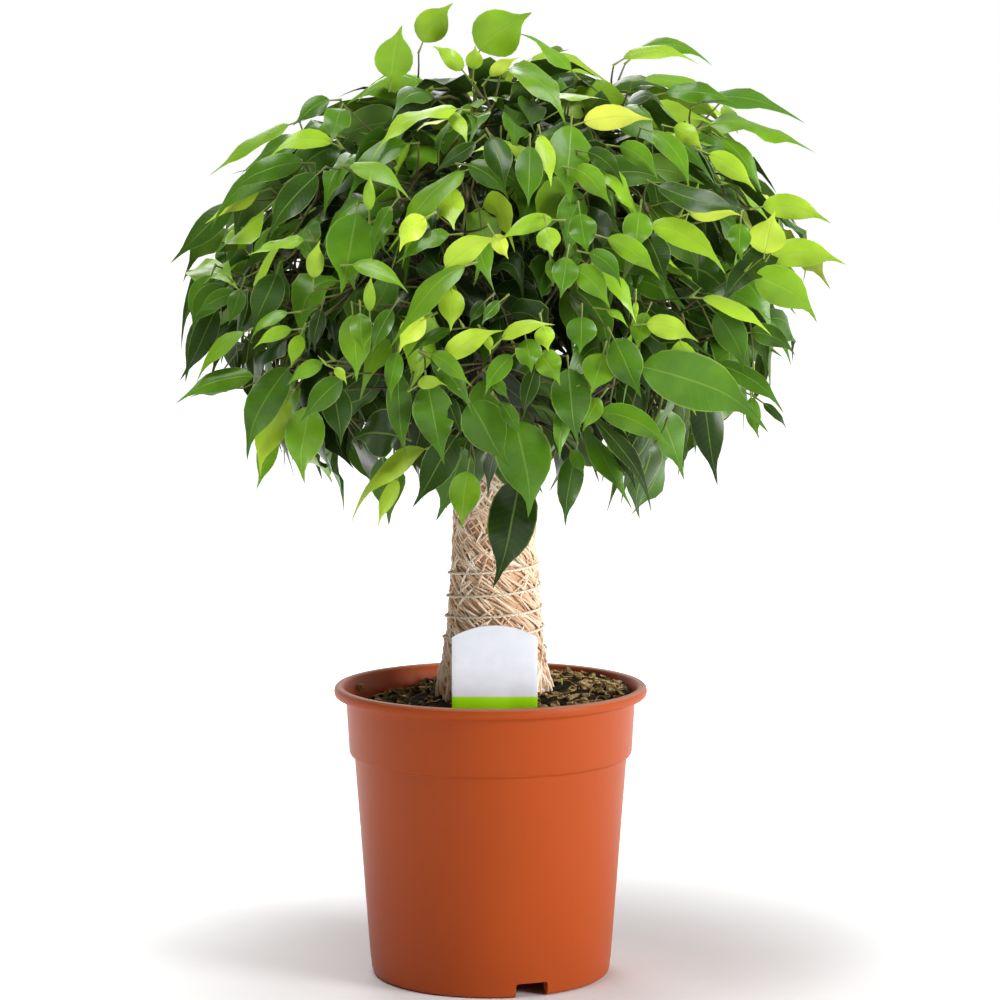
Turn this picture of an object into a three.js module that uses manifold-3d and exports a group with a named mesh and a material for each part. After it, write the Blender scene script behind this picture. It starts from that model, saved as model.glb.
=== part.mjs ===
// A weeping fig (Ficus benjamina) grown as a small round-headed tree in a terracotta-coloured nursery pot.
// Millimetres, +Z up. The origin is the centre of the pot's foot, on the surface it stands on, and the
// plant label faces -Y, the front. Leaves, twigs and trunk are plain closed solids, joined where they grow.
import * as THREE from 'three';
import { mergeVertices } from 'three/addons/utils/BufferGeometryUtils.js';
import Module from 'manifold-3d';

const wasm = await Module();
wasm.setup();

// Pot: a 17 cm nursery pot
const POT_HEIGHT = 158.5;
const RIM_RADIUS = 85;
const RIM_DEPTH = 6.5;
const COLLAR_TOP_RADIUS = 78.6;
const COLLAR_FOOT_RADIUS = 76.6;
const COLLAR_DEPTH = 31;
const COLLAR_STEP_Z = POT_HEIGHT - RIM_DEPTH - COLLAR_DEPTH;
const BODY_TOP_RADIUS = 74;
const BODY_FOOT_RADIUS = 65;
const POT_WALL = 1.8;
const FLOOR_RISE = 8;
const FLOOR_THICKNESS = 2.4;
const FLOOR_TOP_Z = FLOOR_RISE + FLOOR_THICKNESS;
const FOOT_PAD_RADIUS = 24;
const FOOT_RING_WIDTH = 5;
const POT_SIDES = 32;
const NOTCH_COUNT = 3;
const NOTCH_WIDTH = 18;
const NOTCH_HEIGHT = 8;
const FIRST_NOTCH_DEG = -70;
const DRAIN_HOLES = 6;
const DRAIN_HOLE_RADIUS = 4.5;
const DRAIN_RING_RADIUS = 42;

// Soil
const FIT_GAP = 0.4;
const SOIL_EDGE_BELOW_RIM = 12;
const SOIL_MOUND = 7;
const SOIL_LUMP = 1.6;
const SOIL_SIDES = 24;

// Trunk, its wrap and the twine round it
const TRUNK_X = 2;
const TRUNK_ROOT_Z = 90;
const TRUNK_TOP_Z = 358;
const TRUNK_LOBES = 5;
const TRUNK_LOBE_DEPTH = 0.1;
const TRUNK_TAPER_ABOVE = 0.45;
const TRUNK_TAPER_BELOW = 0.4;
const WRAP_FOOT_Z = 145;
const WRAP_TOP_Z = 290;
const WRAP_NECK_RADIUS = 19.6;
const WRAP_FLARE = 10.8;
const WRAP_FLARE_Z = 155;
const WRAP_FLARE_HEIGHT = 52;
const WRAP_THICKNESS = 3.6;
const WRAP_RIDGE = 0.9;
const WRAP_SIDES = 22;
const WRAP_STEPS = 11;
const TWINE_RADIUS = 0.8;
const TWINE_TURNS = 4;
const TWINE_TOP_Z = 225;
const TWINE_PITCH = 11.6;
const TWINE_STEPS = 14;

// Plant label
const LABEL_WIDTH = 45;
const LABEL_TOP_Z = 199;
const LABEL_ARCH = 6.3;
const LABEL_PANEL_FOOT_Z = 153;
const LABEL_TIP_Z = 98;
const LABEL_STAKE_WIDTH = 13;
const LABEL_THICKNESS = 0.9;
const LABEL_X = 2.3;
const LABEL_Y = -60;

// Crown: an egg of leaves round its centre, flatter below than above
const CROWN_CENTRE = new THREE.Vector3(3, 0, 351);
const CROWN_RADIUS = 172;
const CROWN_RISE = 150;
const CROWN_DROP = 100;
const CROWN_FULLNESS = 2.35;
const CROWN_LEAN = 0.1;
const ARCH_INSET = 0.8;
const ARCH_RISE_DEG = 18;
const LIMB_SHARE = 0.35;
const LIMB_RADIUS = 3;
const LIMB_TIP_RADIUS = 2.4;
const LIMB_INSET = 4.5;
const LIMB_FOOT_VARIETY = 12;
const AZIMUTH_VARIETY = 0.25;
const TILT_VARIETY_DEG = 6;
const TWIG_RADIUS = 2.2;
const TWIG_TIP_RADIUS = 1.35;
const SIDE_TWIG_RADIUS = 1.7;
const SIDE_TWIG_TIP_RADIUS = 1.25;
const SIDE_FEET = [0.2, 0.34];
const SIDE_SPREAD = 0.35;
const SIDE_TILT_DEG = 8;
const TWIG_STEPS = 2;
const JOINT_GAP = 0.3;

// Tiers of leafy sprays from the top down: their angle from straight up, how many, the azimuth of the
// first, the height at which their limbs leave the trunk, how far within the outline their twigs end, and
// by how many degrees they droop there
const TIERS = [
  [8, 1, 70, 352, 15, -8],
  [36, 5, 20, 346, 18, -2],
  [59, 9, 5, 336, 22, 2],
  [82, 8, 24, 324, 34, 6],
  [104, 7, 12, 310, 38, 6],
];

// Where the leaves sit along a spray's middle twig and along its two side twigs: the last one ends the twig
const MAIN_NODES = [0.42, 0.57, 0.72, 0.87, 1];
const SIDE_NODES = [0.45, 0.75, 1];

// Leaves
const LEAF_LENGTH = 52;
const LEAF_WIDTH = 21;
const PETIOLE = 9;
const PETIOLE_HALF = 0.65;
const BLADE_HALF = 0.4;
const LEAF_START = { along: 0.5, across: 0.7, outward: 0.3 };
const LEAF_END = { slope: 0.8, across: 0.5, outward: 0.15, outwardOnTop: 0.4 };
const LEAF_STRAY = 0.8;
const STRAY_STEP = 0.12;
const LEAF_ROLL = 1.8;
const SMALLEST_LEAF = 0.8;
const LEAF_VARIETY = 0.3;
const SIZE_STEP = 0.015;
const PETIOLE_VARIETY = 0.4;
const WIDTH_VARIETY = 0.16;
const TWIST_VARIETY = 1.2;
const LEAST_ALIGNED = 0.5;
const BLADE_BEND = 0.35;
const BLADE_STATIONS = [[0.26, 0.45], [0.62, 0.42], [1, 0]];
const LEAF_TRIES = 14;
const CLEARANCE = 0.3;
const LOWEST_LEAF_Z = [[50, 208], [90, 258], [125, 282], [145, 312], [185, 340]];
const HIGHEST_LEAF_Z = 526;
const WIDEST_LEAF_RADIUS = 184;
const OUTERMOST_LEVEL = 1.04;
const JOIN_TOLERANCE = 0.15;

const down = new THREE.Vector3(0, 0, -1);
const up = new THREE.Vector3(0, 0, 1);

// Values from one number to another in equal steps
function steps(from, to, count) {
  return Array.from({ length: count + 1 }, (_, i) => from + ((to - from) * i) / count);
}

// Heights that the wrap's bore and the trunk in it share
const WRAP_LEVELS = steps(WRAP_FOOT_Z, WRAP_TOP_Z, 4);
const BORE_SIDES = 12;

// A repeatable draw: each call gives the next number from 0 to 1
function drawFrom(seed) {
  let state = (seed * 2654435761 + 12345) >>> 0;
  return () => {
    state = (Math.imul(state, 1664525) + 1013904223) >>> 0;
    return state / 4294967296;
  };
}

// A closed mesh as a solid for joining and cutting
function solidOf(geometry) {
  const bare = geometry.clone();
  bare.deleteAttribute('normal');
  bare.deleteAttribute('uv');
  const merged = mergeVertices(bare, 1e-4);
  const corners = merged.index.array;
  const triangles = [];
  for (let i = 0; i < corners.length; i += 3) {
    const [a, b, c] = corners.slice(i, i + 3);
    if (a !== b && b !== c && c !== a) {
      triangles.push(a, b, c);
    }
  }
  return new wasm.Manifold(new wasm.Mesh({
    numProp: 3,
    vertProperties: merged.attributes.position.array,
    triVerts: new Uint32Array(triangles),
  }));
}

// A solid as a geometry again
function geometryOf(solid) {
  const mesh = solid.getMesh();
  return new THREE.BufferGeometry()
    .setAttribute('position', new THREE.BufferAttribute(mesh.vertProperties, 3))
    .setIndex(new THREE.BufferAttribute(mesh.triVerts, 1));
}

// The triangles that close a solid through rings of points, as index triples. The quads of the first half of
// a ring are split one way and the rest the other way, so that both faces of a leaf blade are split alike.
function loftTriangles(rings) {
  const starts = [];
  let total = 0;
  for (const ring of rings) {
    starts.push(total);
    total += ring.length;
  }
  const triangles = [];
  for (let k = 0; k + 1 < rings.length; k += 1) {
    const a = starts[k];
    const b = starts[k + 1];
    const n = rings[k].length;
    for (let i = 0; i < n; i += 1) {
      const j = (i + 1) % n;
      if (i < n / 2) {
        triangles.push([a + i, a + j, b + i], [a + j, b + j, b + i]);
      } else {
        triangles.push([a + i, a + j, b + j], [a + i, b + j, b + i]);
      }
    }
  }
  const last = starts[rings.length - 1];
  for (let i = 1; i + 1 < rings[0].length; i += 1) {
    triangles.push([0, i + 1, i]);
  }
  for (let i = 1; i + 1 < rings[rings.length - 1].length; i += 1) {
    triangles.push([last, last + i, last + i + 1]);
  }
  return triangles;
}

// A closed solid through rings of points
function loft(rings) {
  const points = rings.flat();
  return new THREE.BufferGeometry()
    .setFromPoints(points)
    .setIndex(loftTriangles(rings).flat());
}

// A closed solid of revolution about the vertical line through (x, 0), from [radius, height] pairs
function turned(profile, sides, x = 0) {
  const points = profile.map(([radius, height]) => new THREE.Vector2(radius, height));
  return new THREE.LatheGeometry(points, sides).rotateX(Math.PI / 2).translate(x, 0, 0);
}

// The pot's wall in section, from the middle of its foot round the outside to its inner floor
function potProfile() {
  const ringInner = BODY_FOOT_RADIUS - FOOT_RING_WIDTH;
  const rimFoot = POT_HEIGHT - RIM_DEPTH;
  return [
    [0, 0],
    [FOOT_PAD_RADIUS, 0],
    [FOOT_PAD_RADIUS + 2, FLOOR_RISE],
    [ringInner - 2, FLOOR_RISE],
    [ringInner, 0],
    [BODY_FOOT_RADIUS - 2.6, 0],
    [BODY_FOOT_RADIUS, 3.4],
    [BODY_TOP_RADIUS, COLLAR_STEP_Z - 2.5],
    [COLLAR_FOOT_RADIUS, COLLAR_STEP_Z],
    [COLLAR_TOP_RADIUS, rimFoot],
    [RIM_RADIUS - 1.2, rimFoot + 0.6],
    [RIM_RADIUS, rimFoot + 2.4],
    [RIM_RADIUS - 1.4, POT_HEIGHT],
    [COLLAR_TOP_RADIUS + 1, POT_HEIGHT],
    [COLLAR_TOP_RADIUS - POT_WALL, rimFoot - 2],
    [COLLAR_FOOT_RADIUS - POT_WALL, COLLAR_STEP_Z + 1],
    [BODY_TOP_RADIUS - POT_WALL, COLLAR_STEP_Z - 3],
    [BODY_FOOT_RADIUS - POT_WALL, FLOOR_TOP_Z],
    [0, FLOOR_TOP_Z],
  ];
}

// The pot with drain notches through its foot ring and drain holes through its floor
function makePot() {
  let pot = solidOf(turned(potProfile(), POT_SIDES));
  for (let i = 0; i < NOTCH_COUNT; i += 1) {
    const notch = new THREE.BoxGeometry(4 * FOOT_RING_WIDTH, NOTCH_WIDTH, 2 * NOTCH_HEIGHT)
      .translate(BODY_FOOT_RADIUS, 0, 0)
      .rotateZ(THREE.MathUtils.degToRad(FIRST_NOTCH_DEG + (i * 360) / NOTCH_COUNT));
    pot = pot.subtract(solidOf(notch));
  }
  for (let i = 0; i < DRAIN_HOLES; i += 1) {
    const hole = new THREE.CylinderGeometry(DRAIN_HOLE_RADIUS, DRAIN_HOLE_RADIUS, 6 * FLOOR_THICKNESS, 8)
      .rotateX(Math.PI / 2)
      .translate(DRAIN_RING_RADIUS, 0, FLOOR_RISE)
      .rotateZ((i * 2 * Math.PI) / DRAIN_HOLES);
    pot = pot.subtract(solidOf(hole));
  }
  return geometryOf(pot);
}

// Inner radius of the pot at a height between its floor and its rim
function potBore(z) {
  const top = COLLAR_STEP_Z - 3;
  if (z > top) {
    return COLLAR_FOOT_RADIUS - POT_WALL;
  }
  const share = (z - FLOOR_TOP_Z) / (top - FLOOR_TOP_Z);
  return BODY_FOOT_RADIUS + (BODY_TOP_RADIUS - BODY_FOOT_RADIUS) * share - POT_WALL;
}

// Outer radius of the wrap: it flares to its foot
function wrapRadius(z) {
  const above = Math.max(z, WRAP_FLARE_Z - 4) - WRAP_FLARE_Z;
  return WRAP_NECK_RADIUS + WRAP_FLARE * Math.exp(-above / WRAP_FLARE_HEIGHT);
}

// Mean radius of the trunk: it fills the wrap, thins above it and ends blunt in the soil
function trunkRadius(z) {
  const inWrap = (wrapRadius(z) - WRAP_THICKNESS - FIT_GAP) / (1 + TRUNK_LOBE_DEPTH);
  const above = Math.max(0, z - WRAP_TOP_Z) / (TRUNK_TOP_Z - WRAP_TOP_Z);
  const below = Math.max(0, WRAP_FOOT_Z - z) / (WRAP_FOOT_Z - TRUNK_ROOT_Z);
  return inWrap * (1 - TRUNK_TAPER_ABOVE * above) * (1 - TRUNK_TAPER_BELOW * below);
}

// Unevenness of the soil's surface
function soilLump(x, y) {
  return SOIL_LUMP * (Math.sin(0.31 * x + 0.8) * Math.cos(0.27 * y) + 0.6 * Math.sin(0.13 * x - 0.21 * y));
}

// Soil up to the collar, with a low mound, and holes for the trunk, its wrap and the label
function makeSoil(label) {
  const floor = FLOOR_TOP_Z + FIT_GAP / 2;
  const edge = POT_HEIGHT - SOIL_EDGE_BELOW_RIM;
  const step = COLLAR_STEP_Z - 3;
  const rings = [0, 0.45, 0.7, 0.88];
  const soil = turned([
    [0, floor],
    [potBore(floor) - FIT_GAP, floor],
    [potBore(step) - FIT_GAP, step],
    [potBore(edge) - FIT_GAP, step + 5],
    [potBore(edge) - FIT_GAP, edge - 4],
    ...rings.map((share) => [potBore(edge) * (1 - share), edge + SOIL_MOUND * share]),
    [0, edge + SOIL_MOUND],
  ], SOIL_SIDES);
  const place = soil.attributes.position;
  for (let i = 0; i < place.count; i += 1) {
    const x = place.getX(i);
    const y = place.getY(i);
    const z = place.getZ(i);
    if (z > edge - 1) {
      place.setZ(i, z + soilLump(x, y));
    }
  }
  const trunkHole = turned([
    [0, TRUNK_ROOT_Z - FIT_GAP],
    [trunkRadius(TRUNK_ROOT_Z) * (1 + TRUNK_LOBE_DEPTH) + FIT_GAP, TRUNK_ROOT_Z - FIT_GAP],
    [trunkRadius(WRAP_FOOT_Z) * (1 + TRUNK_LOBE_DEPTH) + FIT_GAP, WRAP_FOOT_Z - FIT_GAP],
    [wrapRadius(WRAP_FOOT_Z) + WRAP_RIDGE + FIT_GAP, WRAP_FOOT_Z - FIT_GAP],
    [wrapRadius(WRAP_FOOT_Z) + WRAP_RIDGE + FIT_GAP, POT_HEIGHT + 10],
    [0, POT_HEIGHT + 10],
  ], WRAP_SIDES, TRUNK_X);
  return geometryOf(solidOf(soil).subtract(solidOf(trunkHole)).subtract(solidOf(label)));
}

// A level ring round a vertical line, with a radius for each angle and height
function ringAt(x, z, sides, radiusAt) {
  const ring = [];
  for (let i = 0; i < sides; i += 1) {
    const angle = (i * 2 * Math.PI) / sides;
    const radius = radiusAt(angle, z);
    ring.push(new THREE.Vector3(x + radius * Math.cos(angle), radius * Math.sin(angle), z));
  }
  return ring;
}

// Sleeve of plaited fibre: two sets of strands cross round the trunk and raise a diamond relief
function makeWrap() {
  const relief = (angle, z) => Math.sin(5 * angle + 0.16 * z) * Math.sin(5 * angle - 0.16 * z);
  const outer = (angle, z) => wrapRadius(z) + WRAP_RIDGE * relief(angle, z);
  const bore = (angle, z) => (wrapRadius(z) - WRAP_THICKNESS) / Math.cos(Math.PI / BORE_SIDES);
  const levels = steps(WRAP_FOOT_Z, WRAP_TOP_Z, WRAP_STEPS);
  const body = loft(levels.map((z) => ringAt(TRUNK_X, z, WRAP_SIDES, outer)));
  const hole = loft([WRAP_FOOT_Z - 2, ...WRAP_LEVELS, WRAP_TOP_Z + 2]
    .map((z) => ringAt(TRUNK_X, z, BORE_SIDES, bore)));
  return geometryOf(solidOf(body).subtract(solidOf(hole)));
}

// Points and directions along a curve, in equal steps of its parameter
function along(curve, count) {
  return steps(0, 1, count).map((t) => ({ t, point: curve.getPoint(t), tangent: curve.getTangent(t) }));
}

// The rings of a tapered rod along a curve
function rodRings(curve, count, sides, fromRadius, toRadius) {
  return along(curve, count).map(({ t, point, tangent }) => {
    const side = Math.abs(tangent.z) < 0.8 ? up : new THREE.Vector3(1, 0, 0);
    const right = tangent.clone().cross(side).normalize();
    const over = tangent.clone().cross(right);
    const radius = fromRadius + (toRadius - fromRadius) * t;
    return steps(0, sides - 1, sides - 1).map((i) => {
      const angle = (i * 2 * Math.PI) / sides;
      return point.clone()
        .addScaledVector(right, radius * Math.cos(angle))
        .addScaledVector(over, radius * Math.sin(angle));
    });
  });
}

// The middle of a rod's straight pieces at a share of its length, where a leaf takes root
function onRod(curve, count, t) {
  const piece = Math.min(Math.floor(t * count), count - 1);
  const from = curve.getPoint(piece / count);
  const to = curve.getPoint((piece + 1) / count);
  return { point: from.clone().lerp(to, t * count - piece), tangent: to.clone().sub(from).normalize() };
}

// Twine wound down the wrap in one helix
class Winding extends THREE.Curve {
  getPoint(t) {
    const angle = -2 * Math.PI * TWINE_TURNS * t;
    const z = TWINE_TOP_Z - TWINE_PITCH * TWINE_TURNS * t;
    const radius = (wrapRadius(z) + WRAP_RIDGE + JOINT_GAP + TWINE_RADIUS) / Math.cos(Math.PI / TWINE_STEPS);
    return new THREE.Vector3(TRUNK_X + radius * Math.cos(angle), radius * Math.sin(angle), z);
  }
}

// The twine as one bent cord
function makeTwine() {
  return loft(rodRings(new Winding(), TWINE_STEPS * TWINE_TURNS, 4, TWINE_RADIUS, TWINE_RADIUS));
}

// The label's outline, grown by a margin for the slot it stands in
function makeLabel(margin) {
  const half = LABEL_WIDTH / 2 + margin;
  const radius = (half * half + LABEL_ARCH * LABEL_ARCH) / (2 * LABEL_ARCH);
  const spread = Math.asin(half / radius);
  const stake = LABEL_STAKE_WIDTH / 2 + margin;
  const outline = new THREE.Shape()
    .moveTo(0, LABEL_TIP_Z - 2 * margin)
    .lineTo(stake, LABEL_TIP_Z + 14)
    .lineTo(stake, LABEL_PANEL_FOOT_Z - 6 - margin)
    .lineTo(half, LABEL_PANEL_FOOT_Z - margin)
    .absarc(0, LABEL_TOP_Z - radius, radius, Math.PI / 2 - spread, Math.PI / 2 + spread)
    .lineTo(-half, LABEL_PANEL_FOOT_Z - margin)
    .lineTo(-stake, LABEL_PANEL_FOOT_Z - 6 - margin)
    .lineTo(-stake, LABEL_TIP_Z + 14)
    .closePath();
  const depth = LABEL_THICKNESS + 2 * margin;
  return new THREE.ExtrudeGeometry(outline, { depth, bevelEnabled: false, curveSegments: 8 })
    .rotateX(Math.PI / 2)
    .translate(LABEL_X, LABEL_Y + depth / 2, 0);
}

// Unit vector at an angle from straight up, turned about the vertical from +X
function directionAt(polarDeg, azimuthDeg) {
  const polar = THREE.MathUtils.degToRad(polarDeg);
  const azimuth = THREE.MathUtils.degToRad(azimuthDeg);
  return new THREE.Vector3(
    Math.sin(polar) * Math.cos(azimuth),
    Math.sin(polar) * Math.sin(azimuth),
    Math.cos(polar),
  );
}

// Distance from the crown's centre to its outline in a direction: the outline bulges past an ellipse
function crownReach(direction) {
  const height = direction.z > 0 ? CROWN_RISE : CROWN_DROP;
  const wide = (Math.hypot(direction.x, direction.y) / CROWN_RADIUS) ** CROWN_FULLNESS;
  const high = (Math.abs(direction.z) / height) ** CROWN_FULLNESS;
  return (wide + high) ** (-1 / CROWN_FULLNESS);
}

// A point within the outline, which leans to the right above the crown's centre
function crownPoint(direction, inset) {
  const point = CROWN_CENTRE.clone().addScaledVector(direction, crownReach(direction) - inset);
  point.x += CROWN_LEAN * Math.max(0, point.z - CROWN_CENTRE.z);
  return point;
}

// Direction square to the crown's outline at a point within it
function outwardAt(point) {
  const offset = point.clone().sub(CROWN_CENTRE);
  const height = offset.z > 0 ? CROWN_RISE : CROWN_DROP;
  return new THREE.Vector3(
    offset.x / CROWN_RADIUS ** 2,
    offset.y / CROWN_RADIUS ** 2,
    offset.z / height ** 2,
  ).normalize();
}

// Direction down the crown's outline at a point within it
function slopeAt(point) {
  const outward = outwardAt(point);
  return down.clone().addScaledVector(outward, -down.dot(outward)).normalize();
}

// A single bend between two points, for limbs, twigs and leaf blades
class Arch extends THREE.QuadraticBezierCurve3 {
  getTangent(t) {
    return this.v1.clone().sub(this.v0).multiplyScalar(1 - t)
      .addScaledVector(this.v2.clone().sub(this.v1), t)
      .normalize();
  }
}

// A loft's corners, triangles and edges, and the box round it
function bodyOf(rings) {
  const points = rings.flat();
  const triangles = loftTriangles(rings);
  const edges = triangles.flatMap(([a, b, c]) => [[a, b], [b, c], [c, a]]).filter(([a, b]) => a < b);
  return { points, triangles, edges, box: new THREE.Box3().setFromPoints(points) };
}

// Whether an edge of one body passes through a triangle of the other
function pierces(one, other) {
  const normal = new THREE.Vector3();
  const first = new THREE.Vector3();
  const second = new THREE.Vector3();
  const hit = new THREE.Vector3();
  const inward = new THREE.Vector3();
  for (const triangle of other.triangles) {
    const corners = triangle.map((i) => other.points[i]);
    first.subVectors(corners[1], corners[0]);
    second.subVectors(corners[2], corners[0]);
    normal.crossVectors(first, second);
    const level = normal.dot(corners[0]);
    const heights = one.points.map((point) => normal.dot(point) - level);
    for (const [from, to] of one.edges) {
      if (heights[from] * heights[to] < 0) {
        hit.lerpVectors(one.points[from], one.points[to], heights[from] / (heights[from] - heights[to]));
        const inside = corners.every((corner, i) => {
          first.subVectors(corners[(i + 1) % 3], corner);
          second.subVectors(hit, corner);
          return inward.crossVectors(first, second).dot(normal) >= 0;
        });
        if (inside) {
          return true;
        }
      }
    }
  }
  return false;
}

// Whether two bodies cross anywhere
function bodiesCross(one, other) {
  return one.box.intersectsBox(other.box) && (pierces(one, other) || pierces(other, one));
}

// A ring round a twig or a leaf from its right lower corner, with its right hand along side. A lower edge
// of no width makes it three-sided.
function ringAround(point, tangent, side, { upper, lower, thick, turn = 0, grow = 0 }) {
  const right = side.clone().addScaledVector(tangent, -side.dot(tangent))
    .normalize()
    .applyAxisAngle(tangent, turn);
  const over = tangent.clone().cross(right);
  return [[lower, -1], [upper, 1], [-upper, 1], [-lower, -1]].map(([across, above]) => point.clone()
    .addScaledVector(right, across + Math.sign(across) * grow)
    .addScaledVector(over, above * (thick + grow)));
}

// A three-sided twig as rings
function twigRings(twig, fromRadius, toRadius) {
  const across = slopeAt(twig.v2).cross(outwardAt(twig.v2)).negate();
  return along(twig, TWIG_STEPS).map(({ t, point, tangent }) => {
    const radius = fromRadius + (toRadius - fromRadius) * t;
    return ringAround(point, tangent, across, { upper: radius, lower: 0, thick: radius });
  });
}

// One leaf as rings: a three-sided stalk from inside its twig, and a blade of even thickness whose width
// follows the leaf's outline
function leafRings(leaf, grow) {
  const blade = new Arch(
    leaf.root.clone().addScaledVector(leaf.start, leaf.petiole),
    leaf.root.clone().addScaledVector(leaf.start, leaf.petiole + leaf.length * BLADE_BEND),
    leaf.root.clone()
      .addScaledVector(leaf.start, leaf.petiole + leaf.length * BLADE_BEND)
      .addScaledVector(leaf.end, leaf.length * (1 - BLADE_BEND) + grow),
  );
  const stalk = { upper: PETIOLE_HALF, lower: 0, thick: PETIOLE_HALF, grow };
  return [
    ringAround(leaf.root, leaf.start, leaf.right, stalk),
    ringAround(blade.v0, leaf.start, leaf.right, stalk),
    ...BLADE_STATIONS.map(([t, share]) => ringAround(blade.getPoint(t), blade.getTangent(t), leaf.right, {
      upper: share * leaf.width,
      lower: share * leaf.width,
      thick: BLADE_HALF,
      turn: leaf.twist * t,
      grow,
    })),
  ];
}

// One leaf's shape as it is drawn at a place on a twig. Each further try strays more and is a bit smaller.
function drawLeaf(place, draw, attempt) {
  const vary = (range) => range * (draw() - 0.5);
  const stray = () => vary(LEAF_STRAY + STRAY_STEP * attempt);
  const anywhere = () => new THREE.Vector3(stray(), stray(), stray());
  const outward = outwardAt(place.point);
  const slope = slopeAt(place.point);
  const across = outward.clone().cross(slope);
  const flare = LEAF_END.outward + LEAF_END.outwardOnTop * Math.max(0, outward.z);
  const start = place.tangent.clone().multiplyScalar(LEAF_START.along)
    .addScaledVector(across, LEAF_START.across * place.side)
    .addScaledVector(outward, LEAF_START.outward)
    .add(anywhere())
    .normalize();
  const end = slope.clone().multiplyScalar(LEAF_END.slope)
    .addScaledVector(outward, flare)
    .addScaledVector(across, LEAF_END.across * place.side)
    .add(anywhere())
    .normalize();
  const face = outward.clone()
    .addScaledVector(anywhere(), LEAF_ROLL)
    .normalize();
  const size = (SMALLEST_LEAF + LEAF_VARIETY * draw()) * (1 - SIZE_STEP * attempt);
  const right = face.cross(start.clone().add(end)).normalize();
  return {
    root: place.point,
    start,
    end,
    right,
    wrung: place.side === 0 && Math.min(right.dot(across), start.dot(place.tangent)) < LEAST_ALIGNED,
    petiole: PETIOLE * (1 + vary(PETIOLE_VARIETY)),
    length: LEAF_LENGTH * size,
    width: LEAF_WIDTH * size * (1 + vary(WIDTH_VARIETY)),
    twist: vary(TWIST_VARIETY),
  };
}

// Least height of a leaf at a distance from the trunk: the crown's underside rises outwards
function skirtHeight(away) {
  const next = LOWEST_LEAF_Z.findIndex(([distance]) => distance >= away);
  if (next < 1) {
    return LOWEST_LEAF_Z.at(next)[1];
  }
  const [[nearer, low], [farther, high]] = LOWEST_LEAF_Z.slice(next - 1, next + 1);
  return low + (high - low) * (away - nearer) / (farther - nearer);
}

// How far out a point lies: 0 at the crown's centre and 1 on its outline
function crownLevel(point) {
  const offset = point.clone().sub(CROWN_CENTRE);
  offset.x -= CROWN_LEAN * Math.max(0, offset.z);
  const distance = offset.length();
  return distance / crownReach(offset.divideScalar(distance));
}

// Within the crown's full reach, and no nearer to the trunk than its wrap
function inRoom(points) {
  return points.every((point) => {
    const away = Math.hypot(point.x - TRUNK_X, point.y);
    const clear = away > wrapRadius(point.z) + WRAP_RIDGE + CLEARANCE || point.z > TRUNK_TOP_Z;
    const low = point.z < skirtHeight(away);
    return clear && !low && away < WIDEST_LEAF_RADIUS && point.z < HIGHEST_LEAF_Z
      && crownLevel(point) < OUTERMOST_LEVEL;
  });
}

// The first drawn leaf that crosses nothing, or none. A leaf that ends a twig mustn't wring its stalk.
function growLeaf(place, draw, bodies) {
  for (let attempt = 0; attempt < LEAF_TRIES; attempt += 1) {
    const leaf = drawLeaf(place, draw, attempt);
    const rings = leafRings(leaf, CLEARANCE);
    const guard = bodyOf(rings);
    const blade = bodyOf(rings.slice(1));
    const blocked = bodies.some((body) => bodiesCross(body === place.twig ? blade : guard, body));
    if (inRoom(guard.points) && !blocked && !leaf.wrung) {
      return leafRings(leaf, 0);
    }
  }
  return null;
}

// The high point that a twig bends over, and the lower point where it ends within the outline
function archOver(polarDeg, azimuthDeg, inset, droop) {
  return [
    crownPoint(directionAt(polarDeg + droop - ARCH_RISE_DEG, azimuthDeg), ARCH_INSET * inset),
    crownPoint(directionAt(polarDeg + droop, azimuthDeg), inset),
  ];
}

// A limb from the trunk to near a spray's foot, and the spray's middle twig and its two side twigs
function growBranch(tier, index) {
  const [polar, count, first, limbZ, inset, droop] = TIERS[tier];
  const draw = drawFrom(100 * (tier + 1) + index);
  const azimuth = first + (360 / count) * (index + AZIMUTH_VARIETY * (draw() - 0.5));
  const tilt = polar + TILT_VARIETY_DEG * (draw() - 0.5);
  const direction = directionAt(tilt, azimuth);
  const foot = directionAt(90, azimuth).multiplyScalar(LIMB_INSET);
  foot.add(new THREE.Vector3(TRUNK_X, 0, limbZ + LIMB_FOOT_VARIETY * (draw() - 0.5)));
  const fork = CROWN_CENTRE.clone().addScaledVector(direction, LIMB_SHARE * crownReach(direction));
  const [high, tip] = archOver(tilt, azimuth, inset, droop);
  const heading = high.clone().sub(fork).normalize();
  const limb = new Arch(foot, fork.clone().addScaledVector(heading, -0.5 * fork.distanceTo(foot)), fork);
  const start = fork.clone().addScaledVector(heading, JOINT_GAP);
  const middle = new Arch(start, high, tip);
  const sides = [-1, 1].map((side, i) => {
    const spread = (SIDE_SPREAD * 360) / count;
    const from = onRod(middle, TWIG_STEPS, SIDE_FEET[i]).point;
    return new Arch(from, ...archOver(tilt + side * SIDE_TILT_DEG, azimuth + side * spread, inset, droop));
  });
  return { limb, twigs: [middle, ...sides] };
}

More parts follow.
